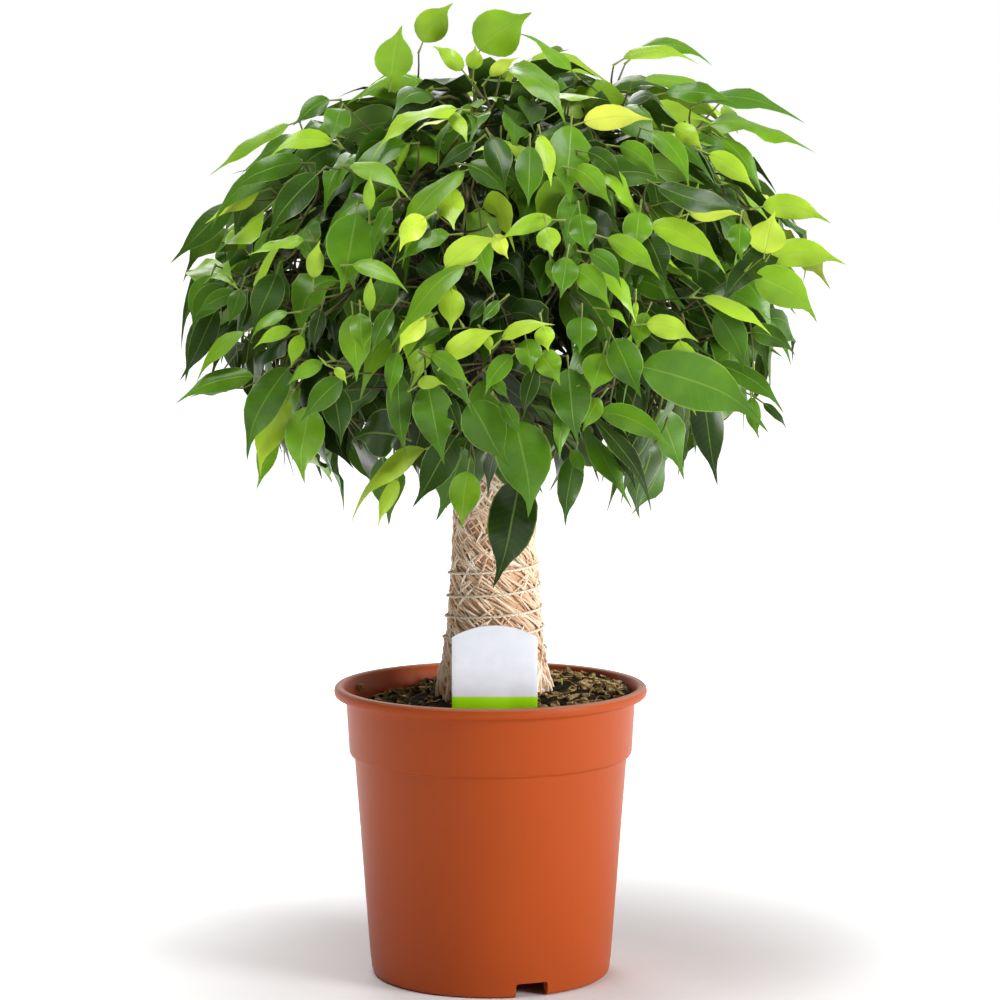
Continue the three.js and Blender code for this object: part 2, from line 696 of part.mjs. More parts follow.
// Every limb and spray as rings: all twigs first, so that no leaf is drawn through one, then leaf by leaf
function growCrown() {
  const branches = TIERS.flatMap(([, count], tier) => (
    Array.from({ length: count }, (_, index) => growBranch(tier, index))
  ));
  const limbs = branches.map(({ limb }) => rodRings(limb, 2, 4, LIMB_RADIUS, LIMB_TIP_RADIUS));
  const sprays = branches.map(({ twigs }) => ({
    places: [],
    rings: twigs.map((twig, i) => (i === 0
      ? twigRings(twig, TWIG_RADIUS, TWIG_TIP_RADIUS)
      : twigRings(twig, SIDE_TWIG_RADIUS, SIDE_TWIG_TIP_RADIUS))),
  }));
  const bodies = limbs.map(bodyOf);
  sprays.forEach((spray, k) => {
    const twigBodies = spray.rings.map(bodyOf);
    bodies.push(...twigBodies);
    branches[k].twigs.forEach((twig, i) => {
      const nodes = i === 0 ? MAIN_NODES : SIDE_NODES;
      nodes.forEach((t, j) => {
        const side = t === 1 ? 0 : 1 - 2 * (j % 2);
        const root = onRod(twig, TWIG_STEPS, t);
        spray.places.push({ ...root, side, twig: twigBodies[i], rings: spray.rings[i] });
      });
    });
  });
  sprays.forEach((spray, k) => {
    spray.places.forEach((place, j) => {
      const leaf = growLeaf(place, drawFrom(1000 + 100 * k + j), bodies);
      if (leaf) {
        bodies.push(bodyOf(leaf));
      }
      if (leaf && place.side === 0) {
        place.rings.push(...leaf.slice(1));
      } else if (leaf) {
        spray.rings.push(leaf);
      }
    });
  });
  return { limbs, sprays };
}

// One solid from overlapping lofts
function joined(ringSets) {
  return wasm.Manifold.union(ringSets.map((rings) => solidOf(loft(rings))))
    .asOriginal()
    .simplify(JOIN_TOLERANCE);
}

// Trunk with the shallow ribs of stems grown together, and the limbs that fork from it
function makeTrunk(limbs) {
  const ribbed = (angle, z) => trunkRadius(z) * (1 + TRUNK_LOBE_DEPTH * Math.cos(TRUNK_LOBES * angle));
  const levels = [TRUNK_ROOT_Z, ...WRAP_LEVELS, ...steps(WRAP_TOP_Z, TRUNK_TOP_Z, 2).slice(1)];
  const stem = levels.map((z) => ringAt(TRUNK_X, z, 2 * TRUNK_LOBES, ribbed));
  return geometryOf(joined([stem, ...limbs]));
}

const materials = {
  terracotta: new THREE.MeshStandardMaterial({ color: 0xa9603f, roughness: 0.6 }),
  earth: new THREE.MeshStandardMaterial({ color: 0x3b2c22, roughness: 1 }),
  bark: new THREE.MeshStandardMaterial({ color: 0x8a7a63, roughness: 0.9 }),
  straw: new THREE.MeshStandardMaterial({ color: 0xa98f62, roughness: 1 }),
  cord: new THREE.MeshStandardMaterial({ color: 0xd8cba8, roughness: 0.9 }),
  card: new THREE.MeshStandardMaterial({ color: 0xf2f2ee, roughness: 0.5 }),
  leaf: new THREE.MeshStandardMaterial({ color: 0x3d7a2c, roughness: 0.45 }),
};

const plant = new THREE.Group();

function addPart(name, geometry, material) {
  const part = new THREE.Mesh(geometry, material);
  part.name = name;
  plant.add(part);
}

const crown = growCrown();
addPart('pot', makePot(), materials.terracotta);
addPart('soil', makeSoil(makeLabel(FIT_GAP)), materials.earth);
addPart('trunk', makeTrunk(crown.limbs), materials.bark);
addPart('trunk_wrap', makeWrap(), materials.straw);
addPart('binding_twine', makeTwine(), materials.cord);
addPart('plant_label', makeLabel(0), materials.card);
crown.sprays.forEach((spray, k) => {
  addPart(`spray_${String(k + 1).padStart(2, '0')}`, geometryOf(joined(spray.rings)), materials.leaf);
});

export default plant;
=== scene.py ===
# %% [markdown]
# # A weeping fig in a nursery pot
# This notebook dresses a plant whose solids are already packed: pot, soil, trunk with its limbs, a
# fibre wrap with twine, a label and thirty leafy sprays. Each solid is the frame for a finer piece that
# stays where the solid is. Blender works in metres, and the sizes here are written in millimetres, as a
# grower would measure.

# %% Load the frame
import math

import bpy
import bmesh
import numpy as np
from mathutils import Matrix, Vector, noise


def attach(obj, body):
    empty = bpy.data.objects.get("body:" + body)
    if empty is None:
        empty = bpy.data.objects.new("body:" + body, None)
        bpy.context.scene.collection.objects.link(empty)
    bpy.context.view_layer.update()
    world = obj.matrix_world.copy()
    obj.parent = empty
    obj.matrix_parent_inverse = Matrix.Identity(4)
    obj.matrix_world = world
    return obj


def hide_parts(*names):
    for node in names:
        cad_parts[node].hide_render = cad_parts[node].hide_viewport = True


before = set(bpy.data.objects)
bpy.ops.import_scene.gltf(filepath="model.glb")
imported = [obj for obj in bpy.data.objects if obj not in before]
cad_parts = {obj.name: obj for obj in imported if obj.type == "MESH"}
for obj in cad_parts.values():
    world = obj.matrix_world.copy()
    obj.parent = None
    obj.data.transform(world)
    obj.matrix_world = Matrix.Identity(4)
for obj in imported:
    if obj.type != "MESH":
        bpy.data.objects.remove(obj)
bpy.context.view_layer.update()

MM = 0.001
print("nodes in the frame:", len(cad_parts))

# %% [markdown]
# ## Camera
# The photograph looks slightly down on the plant from 1.8 m away through a long lens, so the pot's rim
# is a flat ellipse and the soil just shows. The camera is set up first, because the matched leaves are
# placed as they are seen from it.

# %% Camera
CAMERA_X = 5.1
CAMERA_DISTANCE = 1800
CAMERA_Z = 443
AIM_Z = 259
SENSOR_WIDTH = 36
LENS = 120.5

down_tilt = math.atan((CAMERA_Z - AIM_Z) / CAMERA_DISTANCE)
bpy.ops.object.select_all(action="DESELECT")
bpy.ops.object.camera_add(
    location=(CAMERA_X * MM, -CAMERA_DISTANCE * MM, CAMERA_Z * MM),
    rotation=(math.pi / 2 - down_tilt, 0, 0),
)
camera = bpy.context.object
camera.name = "photo_camera"
camera.data.lens = LENS
camera.data.sensor_width = SENSOR_WIDTH
bpy.context.scene.camera = camera
print("camera tilts down by", round(math.degrees(down_tilt), 2), "degrees")

# %% [markdown]
# ## Floor and light
# A plain pale floor and a white sky stand for the photographer's white paper. The floor glows behind
# the pot and far out all round, as lit backing paper does, and stays dull close by, so that the pot's
# soft shadow shows. A broad lamp on the right shades the pot from right to left, one above gives the
# leaves their long soft shine, and a weak one behind parts them from the paper.

# %% Colours and nodes
def linear(hex_colour):
    """An sRGB hex colour as the linear colour that a shader takes."""
    channels = [int(hex_colour[i:i + 2], 16) / 255 for i in (1, 3, 5)]
    return [c / 12.92 if c <= 0.04045 else ((c + 0.055) / 1.055) ** 2.4 for c in channels] + [1]


def add_node(tree, kind, inputs=None, **settings):
    """Adds a node to a material: its settings, then values or links for its inputs."""
    made = tree.nodes.new(kind)
    for name, value in settings.items():
        setattr(made, name, value)
    for socket, value in (inputs or {}).items():
        if isinstance(value, bpy.types.NodeSocket):
            tree.links.new(value, made.inputs[socket])
        else:
            made.inputs[socket].default_value = value
    return made


def new_material(name):
    """A material with its node tree and its surface shader."""
    material = bpy.data.materials.new(name)
    material.use_nodes = True
    tree = material.node_tree
    return material, tree, tree.nodes["Principled BSDF"]


def ramped(tree, value, stops):
    """The colour of a ramp at a value. Each stop is a place from 0 to 1 and a hex colour."""
    ramp = add_node(tree, "ShaderNodeValToRGB", {"Fac": value})
    elements = ramp.color_ramp.elements
    while len(elements) < len(stops):
        elements.new(0.5)
    for element, (place, colour) in zip(elements, stops):
        element.position = place
        element.color = linear(colour)
    return ramp.outputs["Color"]


def mixed(tree, share, first, second):
    """One colour mixed into another."""
    inputs = {0: share, 6: first, 7: second}
    return add_node(tree, "ShaderNodeMix", inputs, data_type="RGBA").outputs[2]


print("half grey, #808080, is", round(linear("#808080")[0], 3), "to a shader")


# %% Values and patterns
def worked(tree, operation, first, second=0.0):
    """The result of a sum on one or two values."""
    return add_node(tree, "ShaderNodeMath", {0: first, 1: second}, operation=operation).outputs[0]


def scaled(tree, value, factor):
    """A value times a factor."""
    return worked(tree, "MULTIPLY", value, factor)


def varied(tree, value, middle, factor):
    """How far a value lies from a middle, times a factor."""
    return scaled(tree, worked(tree, "SUBTRACT", value, middle), factor)


def between(tree, value, low, high, start=0.0, end=1.0, soft=False):
    """From start to end as a value goes from low to high. Soft eases both ends."""
    easing = "SMOOTHSTEP" if soft else "LINEAR"
    inputs = {0: value, 1: low, 2: high, 3: start, 4: end}
    return add_node(tree, "ShaderNodeMapRange", inputs, interpolation_type=easing).outputs[0]


def piece_place(tree):
    """Where a point lies in its own piece, in metres."""
    return add_node(tree, "ShaderNodeTexCoord").outputs["Object"]


def cloudy(tree, place, scale, detail):
    """A cloudy pattern at a place: a higher scale is finer, and more detail is rougher."""
    inputs = {"Vector": place, "Scale": scale, "Detail": detail}
    return add_node(tree, "ShaderNodeTexNoise", inputs).outputs["Fac"]


def carried(tree, name):
    """A value that the mesh carries along for its material."""
    return add_node(tree, "ShaderNodeAttribute", attribute_name=name).outputs["Fac"]


def roughen(tree, surface, strength, depth, height):
    """Gives a surface a fine relief, whose depth is in metres."""
    bump = add_node(tree, "ShaderNodeBump", {"Strength": strength, "Distance": depth, "Height": height})
    tree.links.new(bump.outputs[0], surface.inputs["Normal"])


print("helpers for materials ready")

# %% Floor
FLOOR_SIZE = 40
FLOOR_ROUGHNESS = 0.9
GLOW_FROM = 0.1
GLOW_FULL = 0.42
GLOW_STRENGTH = 0.95
BACK_FROM, BACK_FULL = -0.4, 0.05
FAR_FROM, FAR_FULL = 0.9, 1.5

bpy.ops.object.select_all(action="DESELECT")
bpy.ops.mesh.primitive_plane_add(size=FLOOR_SIZE, location=(0, 0, 0))
floor = bpy.context.object
floor.name = "paper_floor"
floor_material, tree, surface = new_material("white_backing_paper")
paper_grain = add_node(tree, "ShaderNodeTexNoise", {"Scale": 400.0, "Detail": 2.0}).outputs["Fac"]
paper = ramped(tree, paper_grain, [(0.3, "#e4e4e4"), (0.7, "#e8e8e8")])
tree.links.new(paper, surface.inputs["Base Color"])
floor_place = piece_place(tree)
reach = add_node(tree, "ShaderNodeVectorMath", {0: floor_place}, operation="LENGTH").outputs["Value"]
backward = add_node(tree, "ShaderNodeSeparateXYZ", {0: floor_place}).outputs[1]
outer_glow = between(tree, reach, GLOW_FROM, GLOW_FULL, 0.0, GLOW_STRENGTH, soft=True)
behind_pot = between(tree, backward, BACK_FROM, BACK_FULL, soft=True)
far_out = between(tree, reach, FAR_FROM, FAR_FULL, soft=True)
glow = worked(tree, "MULTIPLY", outer_glow, worked(tree, "MAXIMUM", behind_pot, far_out))
surface.inputs["Emission Color"].default_value = linear("#ffffff")
tree.links.new(glow, surface.inputs["Emission Strength"])
surface.inputs["Roughness"].default_value = FLOOR_ROUGHNESS
floor.data.materials.append(floor_material)
print("floor is", FLOOR_SIZE, "m wide")

# %% Lights
SKY_DIM = 0.03
SKY_SKEW = 0.5
SKY_BRIGHT = 1.0
SKY_BACK_FROM, SKY_BACK_FULL = -0.2, 0.6
HORIZON_TOP, HORIZON_FULL = 0.13, 0.06
SKY_TOP, SKY_TOP_SHARE = 0.45, 0.45
LAMPS = [
    ("right_softbox", (1650, -1050, 650), 150, 900, 38),
    ("top_softbox", (-450, -650, 1950), 380, 1000, 26),
    ("back_softbox", (-300, 1500, 1500), 300, 1000, 12),
]

world = bpy.context.scene.world or bpy.data.worlds.new("studio")
bpy.context.scene.world = world
world.use_nodes = True
sky_tree = world.node_tree
direction = add_node(sky_tree, "ShaderNodeTexCoord").outputs["Generated"]
sky_axes = add_node(sky_tree, "ShaderNodeSeparateXYZ", {0: direction}).outputs
backward = worked(sky_tree, "ADD", sky_axes[1], scaled(sky_tree, sky_axes[0], SKY_SKEW))
behind = between(sky_tree, backward, SKY_BACK_FROM, SKY_BACK_FULL, soft=True)
horizon = between(sky_tree, sky_axes[2], HORIZON_TOP, HORIZON_FULL, soft=True)
overhead = between(sky_tree, sky_axes[2], HORIZON_TOP, SKY_TOP, 1.0, SKY_TOP_SHARE)
bright = worked(sky_tree, "MAXIMUM", worked(sky_tree, "MULTIPLY", behind, overhead), horizon)
strength = between(sky_tree, bright, 0.0, 1.0, SKY_DIM, SKY_BRIGHT)
sky = sky_tree.nodes["Background"]
sky.inputs["Color"].default_value = linear("#ffffff")
sky_tree.links.new(strength, sky.inputs["Strength"])
for lamp_name, place, aim_z, size, watts in LAMPS:
    bpy.ops.object.light_add(type="AREA", location=[value * MM for value in place])
    lamp = bpy.context.object
    lamp.name = lamp_name
    lamp.data.shape = "DISK"
    lamp.data.size = size * MM
    lamp.data.energy = watts
    away = np.array(place) - np.array([0, 0, aim_z])
    lamp.rotation_euler = (math.acos(away[2] / np.linalg.norm(away)), 0, math.atan2(away[0], -away[1]))
bpy.context.scene.view_settings.view_transform = "Standard"
print("lamps:", [name for name, *_ in LAMPS])

# %% [markdown]
# ## How the crown grows
# A weeping fig branches again and again, and each thin twig arches over under its own leaves. The crown
# here follows the rule that placed the solids: limbs leave the trunk in five tiers, each ends in a twig
# with two side twigs, and a leaf is drawn at each node until one is found that crosses nothing. The
# same seeds give the same leaves, so that each fine leaf lies where its solid leaf is.

# %% Sizes of the crown
TRUNK_X = 2
TRUNK_TOP_Z = 358
CROWN_CENTRE = np.array([3.0, 0.0, 351.0])
CROWN_RADIUS = 172
CROWN_RISE = 150
CROWN_DROP = 100
CROWN_FULLNESS = 2.35
CROWN_LEAN = 0.1
ARCH_INSET = 0.8
ARCH_RISE_DEG = 18
LIMB_SHARE = 0.35
LIMB_RADIUS = 3
LIMB_TIP_RADIUS = 2.4
LIMB_INSET = 4.5
LIMB_FOOT_VARIETY = 12
AZIMUTH_VARIETY = 0.25
TILT_VARIETY_DEG = 6
TWIG_RADIUS = 2.2
TWIG_TIP_RADIUS = 1.35
SIDE_TWIG_RADIUS = 1.7
SIDE_TWIG_TIP_RADIUS = 1.25
SIDE_FEET = [0.2, 0.34]
SIDE_SPREAD = 0.35
SIDE_TILT_DEG = 8
TWIG_STEPS = 2
JOINT_GAP = 0.3
TIERS = [
    (8, 1, 70, 352, 15, -8),
    (36, 5, 20, 346, 18, -2),
    (59, 9, 5, 336, 22, 2),
    (82, 8, 24, 324, 34, 6),
    (104, 7, 12, 310, 38, 6),
]
MAIN_NODES = [0.42, 0.57, 0.72, 0.87, 1]
SIDE_NODES = [0.45, 0.75, 1]

LEAF_LENGTH = 52
LEAF_WIDTH = 21
PETIOLE = 9
PETIOLE_HALF = 0.65
BLADE_HALF = 0.4
LEAF_START = {"along": 0.5, "across": 0.7, "outward": 0.3}
LEAF_END = {"slope": 0.8, "across": 0.5, "outward": 0.15, "outward_on_top": 0.4}
LEAF_STRAY = 0.8
STRAY_STEP = 0.12
LEAF_ROLL = 1.8
SMALLEST_LEAF = 0.8
LEAF_VARIETY = 0.3
STEEP = 0.8
SIZE_STEP = 0.015
PETIOLE_VARIETY = 0.4
WIDTH_VARIETY = 0.16
TWIST_VARIETY = 1.2
LEAST_ALIGNED = 0.5
BLADE_BEND = 0.35
BLADE_STATIONS = [(0.26, 0.45), (0.62, 0.42), (1, 0)]
LEAF_TRIES = 14
CLEARANCE = 0.3
LEAF_SEED = 1000
FINE_START = {"along": 0.3, "across": 0.55, "outward": 0.8}
FINE_END = {"slope": 0.8, "across": 0.5, "outward": 0.2, "outward_on_top": 0.25}
FINE_BEND = 0.48
OUTERMOST_LEVEL = 1.04
FINE_LEVEL = 0.97
SKIRT_RADII = [50, 90, 125, 145, 185]
SKIRT_HEIGHTS = [208, 258, 282, 312, 340]
FINE_LOWEST_Z = 246
FINE_SKIRT_LIFT = 16
HIGHEST_LEAF_Z = 526
WIDEST_LEAF_RADIUS = 184

WRAP_FOOT_Z = 145
WRAP_TOP_Z = 290
WRAP_NECK_RADIUS = 19.6
WRAP_FLARE = 10.8
WRAP_FLARE_Z = 155
WRAP_FLARE_HEIGHT = 52
WRAP_RIDGE = 0.9
print("tiers of sprays:", [tier[1] for tier in TIERS])


# %% Draws and directions
def draw_from(seed):
    """A repeatable draw: each call gives the next number from 0 to 1."""
    state = (seed * 2654435761 + 12345) % 2**32

    def draw():
        nonlocal state
        state = (state * 1664525 + 1013904223) % 2**32
        return state / 2**32
    return draw


def drawn(draw, span, power=1):
    """A drawn value: a least value, and up to so much more. A power above 1 makes high ones rare."""
    least, more = span
    return least + more * draw() ** power


def unit(vector):
    """The vector at a length of 1."""
    return vector / np.linalg.norm(vector)


def axis_beside(heading):
    """An upright axis, or one along X where a heading is itself steep."""
    return np.array([0, 0, 1.0]) if abs(heading[2]) < STEEP else np.array([1.0, 0, 0])


def direction_at(polar_deg, azimuth_deg):
    """Unit vector at an angle from straight up, turned about the vertical from +X."""
    polar, azimuth = math.radians(polar_deg), math.radians(azimuth_deg)
    level = math.sin(polar)
    return np.array([level * math.cos(azimuth), level * math.sin(azimuth), math.cos(polar)])


def crown_reach(direction):
    """Distance from the crown's centre to its outline."""
    height = CROWN_RISE if direction[2] > 0 else CROWN_DROP
    wide = (math.hypot(direction[0], direction[1]) / CROWN_RADIUS) ** CROWN_FULLNESS
    high = (abs(direction[2]) / height) ** CROWN_FULLNESS
    return (wide + high) ** (-1 / CROWN_FULLNESS)


def crown_point(direction, inset):
    """A point within the outline, which leans to the right above the crown's centre."""
    point = CROWN_CENTRE + direction * (crown_reach(direction) - inset)
    point[0] += CROWN_LEAN * max(0, point[2] - CROWN_CENTRE[2])
    return point


def outward_at(point):
    """Direction square to the outline."""
    offset = point - CROWN_CENTRE
    height = CROWN_RISE if offset[2] > 0 else CROWN_DROP
    return unit(offset / np.array([CROWN_RADIUS**2, CROWN_RADIUS**2, height**2]))


def slope_at(point):
    """Direction down the outline."""
    outward = outward_at(point)
    return unit(np.array([0, 0, -1]) + outward * outward[2])


def wrap_radius(z):
    """Outer radius of the fibre wrap, which flares to its foot."""
    above = np.maximum(z, WRAP_FLARE_Z - 4) - WRAP_FLARE_Z
    return WRAP_NECK_RADIUS + WRAP_FLARE * np.exp(-above / WRAP_FLARE_HEIGHT)


def crown_level(points):
    """How far out points lie: 0 at the crown's centre and 1 on its outline."""
    offset = points - CROWN_CENTRE
    height = np.where(offset[:, 2] > 0, CROWN_RISE, CROWN_DROP)
    lean = CROWN_LEAN * np.maximum(0, offset[:, 2])
    wide = (np.hypot(offset[:, 0] - lean, offset[:, 1]) / CROWN_RADIUS) ** CROWN_FULLNESS
    high = (np.abs(offset[:, 2]) / height) ** CROWN_FULLNESS
    return (wide + high) ** (1 / CROWN_FULLNESS)


print("crown is", round(2 * crown_reach(direction_at(90, 0))), "mm wide without its outer leaf tips")


# %% Arches and rings
class Arch:
    """A single bend between two points, for limbs, twigs and leaf blades."""

    def __init__(self, start, middle, end):
        self.start, self.middle, self.end = start, middle, end

    def point(self, t):
        return (1 - t) ** 2 * self.start + 2 * (1 - t) * t * self.middle + t * t * self.end

    def tangent(self, t):
        return unit((self.middle - self.start) * (1 - t) + (self.end - self.middle) * t)


def on_rod(arch, count, t):
    """The middle of a rod's straight pieces at a share of its length, and its heading there."""
    piece = min(int(t * count), count - 1)
    start, end = arch.point(piece / count), arch.point((piece + 1) / count)
    return start + (end - start) * (t * count - piece), unit(end - start)


def turned_about(vector, axis, angle):
    """A vector square to the axis, turned about it."""
    return vector * math.cos(angle) + np.cross(axis, vector) * math.sin(angle)


def ring_around(point, tangent, side, upper, lower, thick, turn=0.0, grow=0.0):
    """A ring of four corners round a twig or a leaf, with its right hand along side."""
    right = turned_about(unit(side - tangent * np.dot(side, tangent)), tangent, turn)
    over = np.cross(tangent, right)
    corners = [(lower, -1), (upper, 1), (-upper, 1), (-lower, -1)]
    return np.array([
        point + right * (across + np.sign(across) * grow) + over * above * (thick + grow)
        for across, above in corners
    ])


def rod_rings(arch, count, from_radius, to_radius):
    """The rings of a four-sided tapered rod."""
    rings = []
    for t in np.linspace(0, 1, count + 1):
        tangent = arch.tangent(t)
        right = unit(np.cross(tangent, axis_beside(tangent)))
        over = np.cross(tangent, right)
        radius = from_radius + (to_radius - from_radius) * t
        rings.append(np.array([
            arch.point(t) + radius * (right * math.cos(i * math.pi / 2) + over * math.sin(i * math.pi / 2))
            for i in range(4)
        ]))
    return rings


def twig_rings(twig, from_radius, to_radius):
    """A three-sided twig as rings."""
    across = -np.cross(slope_at(twig.end), outward_at(twig.end))
    rings = []
    for t in np.linspace(0, 1, TWIG_STEPS + 1):
        radius = from_radius + (to_radius - from_radius) * t
        rings.append(ring_around(twig.point(t), twig.tangent(t), across, radius, 0, radius))
    return rings


print("a twig is", TWIG_STEPS, "straight pieces in the frame")


# %% Crossing test
THICKET_ROOM = 4000


def loft_triangles(count):
    """Corner numbers of the triangles round that many rings of four, and across the two ends."""
    triangles = []
    for a in range(0, 4 * (count - 1), 4):
        b = a + 4
        for i in range(4):
            j = (i + 1) % 4
            if i < 2:
                triangles += [(a + i, a + j, b + i), (a + j, b + j, b + i)]
            else:
                triangles += [(a + i, a + j, b + j), (a + i, b + j, b + i)]
    last = 4 * (count - 1)
    triangles += [(0, 2, 1), (0, 3, 2), (last, last + 1, last + 2), (last, last + 2, last + 3)]
    return np.array(triangles)


LOFTS = {count: loft_triangles(count) for count in (3, 4, 5)}


def body_of(rings):
    """A loft's triangles and edges as corner points, and its lowest and highest corner."""
    points = np.concatenate(rings)
    triangles = LOFTS[len(rings)]
    edges = np.concatenate([triangles[:, [0, 1]], triangles[:, [1, 2]], triangles[:, [2, 0]]])
    edges = edges[edges[:, 0] < edges[:, 1]]
    return points[triangles], points[edges], points.min(0), points.max(0)


def pierces(edges, triangles):
    """Whether any of the edges passes through any of the triangles."""
    first = triangles[:, 1] - triangles[:, 0]
    normal = np.cross(first, triangles[:, 2] - triangles[:, 0])
    level = (normal * triangles[:, 0]).sum(1)
    start = edges[:, 0] @ normal.T - level
    end = edges[:, 1] @ normal.T - level
    edge, triangle = np.nonzero(start * end < 0)
    if not len(edge):
        return False
    share = start[edge, triangle] / (start[edge, triangle] - end[edge, triangle])
    hit = edges[edge, 0] + (edges[edge, 1] - edges[edge, 0]) * share[:, None]
    corners = triangles[triangle]
    sides = np.roll(corners, -1, axis=1) - corners
    inward = np.cross(sides, hit[:, None] - corners)
    inside = ((inward * normal[triangle][:, None]).sum(2) >= 0).all(1)
    return bool(inside.any())


class Thicket:
    """Everything that grows, so that a new leaf can be kept clear of it."""

    def __init__(self):
        self.bodies = []
        self.lows, self.highs = np.zeros((THICKET_ROOM, 3)), np.zeros((THICKET_ROOM, 3))

    def add(self, rings):
        body = body_of(rings)
        count = len(self.bodies)
        self.bodies.append(body)
        self.lows[count], self.highs[count] = body[2], body[3]
        return count

    def blocks(self, body, skip=()):
        """Whether a body crosses any other than those to skip."""
        triangles, edges, low, high = body
        count = len(self.bodies)
        near = (self.lows[:count] <= high).all(1) & (self.highs[:count] >= low).all(1)
        near = [i for i in np.nonzero(near)[0] if i not in skip]
        if not near:
            return False
        others = np.concatenate([self.bodies[i][0] for i in near])
        bars = np.concatenate([self.bodies[i][1] for i in near])
        others = others[(others.min(1) <= high).all(1) & (others.max(1) >= low).all(1)]
        bars = bars[(bars.min(1) <= high).all(1) & (bars.max(1) >= low).all(1)]
        return (len(others) > 0 and pierces(edges, others)) or (len(bars) > 0 and pierces(bars, triangles))


print("a leaf's crossing body has", len(LOFTS[5]), "triangles")


# %% Leaves
def blade_arch(leaf, grow=0.0):
    """The line that a leaf's midrib follows."""
    root, start = leaf["root"], leaf["start"]
    bend_share = leaf.get("bend", BLADE_BEND)
    bend = root + start * (leaf["petiole"] + leaf["length"] * bend_share)
    tip = bend + leaf["end"] * (leaf["length"] * (1 - bend_share) + grow)
    return Arch(root + start * leaf["petiole"], bend, tip)


def leaf_rings(leaf, grow):
    """A leaf's plain body, a little larger where it has to keep clear."""
    blade = blade_arch(leaf, grow)
    right = leaf["right"]
    stalk = {"upper": PETIOLE_HALF, "lower": 0, "thick": PETIOLE_HALF, "grow": grow}
    rings = [
        ring_around(leaf["root"], leaf["start"], right, **stalk),
        ring_around(blade.start, leaf["start"], right, **stalk),
    ]
    for t, share in BLADE_STATIONS:
        half = share * leaf["width"]
        rings.append(ring_around(
            blade.point(t), blade.tangent(t), right, half, half, BLADE_HALF, leaf["twist"] * t, grow))
    return rings


def draw_leaf(place, draw, attempt):
    """One leaf as it is drawn at a place on a twig."""
    stray_range = LEAF_STRAY + STRAY_STEP * attempt

    def anywhere():
        return np.array([stray_range * (draw() - 0.5) for _ in range(3)])

    outward, slope = outward_at(place["point"]), slope_at(place["point"])
    across = np.cross(outward, slope)
    side = place["side"]
    first, last = (FINE_START, FINE_END) if place.get("fine") else (LEAF_START, LEAF_END)
    flare = last["outward"] + last["outward_on_top"] * max(0, outward[2])
    start = unit(place["tangent"] * first["along"] + across * first["across"] * side
                 + outward * first["outward"] + anywhere())
    end = unit(slope * last["slope"] + outward * flare
               + across * last["across"] * side + anywhere())
    face = unit(outward + anywhere() * LEAF_ROLL)
    size = (SMALLEST_LEAF + LEAF_VARIETY * draw()) * (1 - SIZE_STEP * attempt)
    right = unit(np.cross(face, start + end))
    return {
        "root": place["point"], "start": start, "end": end, "right": right,
        "wrung": side == 0 and min(np.dot(right, across), np.dot(start, place["tangent"])) < LEAST_ALIGNED,
        "petiole": PETIOLE * (1 + PETIOLE_VARIETY * (draw() - 0.5)),
        "length": LEAF_LENGTH * size,
        "width": LEAF_WIDTH * size * (1 + WIDTH_VARIETY * (draw() - 0.5)),
        "twist": TWIST_VARIETY * (draw() - 0.5),
        "bend": FINE_BEND if place.get("fine") else BLADE_BEND,
    }


def in_room(body, fine):
    """Within the crown's reach, and clear of the wrap. Leaves of finer shoots keep closer in."""
    corners = body[0].reshape(-1, 3)
    away, z = np.hypot(corners[:, 0] - TRUNK_X, corners[:, 1]), corners[:, 2]
    clear = (away > wrap_radius(z) + WRAP_RIDGE + CLEARANCE) | (z > TRUNK_TOP_Z)
    lowest = np.interp(away, SKIRT_RADII, SKIRT_HEIGHTS)
    if fine:
        lowest = np.maximum(lowest + FINE_SKIRT_LIFT, FINE_LOWEST_Z)
    within = crown_level(corners) < (FINE_LEVEL if fine else OUTERMOST_LEVEL)
    return (clear & within & (away < WIDEST_LEAF_RADIUS) & (z >= lowest) & (z < HIGHEST_LEAF_Z)).all()


def grow_leaf(place, draw, thicket):
    """The first drawn leaf that crosses nothing, or none."""
    twig = place["body"]
    for attempt in range(LEAF_TRIES):
        leaf = draw_leaf(place, draw, attempt)
        rings = leaf_rings(leaf, CLEARANCE)
        guard, blade = body_of(rings), body_of(rings[1:])
        if leaf["wrung"] or not in_room(guard, place.get("fine")) or thicket.blocks(guard, skip=(twig,)):
            continue
        own = thicket.bodies[twig]
        if not (pierces(blade[1], own[0]) or pierces(own[1], blade[0])):
            return leaf
    return None


print("a leaf is about", LEAF_LENGTH, "by", LEAF_WIDTH, "mm")


# %% Branches
def arch_over(polar_deg, azimuth_deg, inset, droop):
    """The high point that a twig bends over, and the lower point where it ends within the outline."""
    return (
        crown_point(direction_at(polar_deg + droop - ARCH_RISE_DEG, azimuth_deg), ARCH_INSET * inset),
        crown_point(direction_at(polar_deg + droop, azimuth_deg), inset),
    )


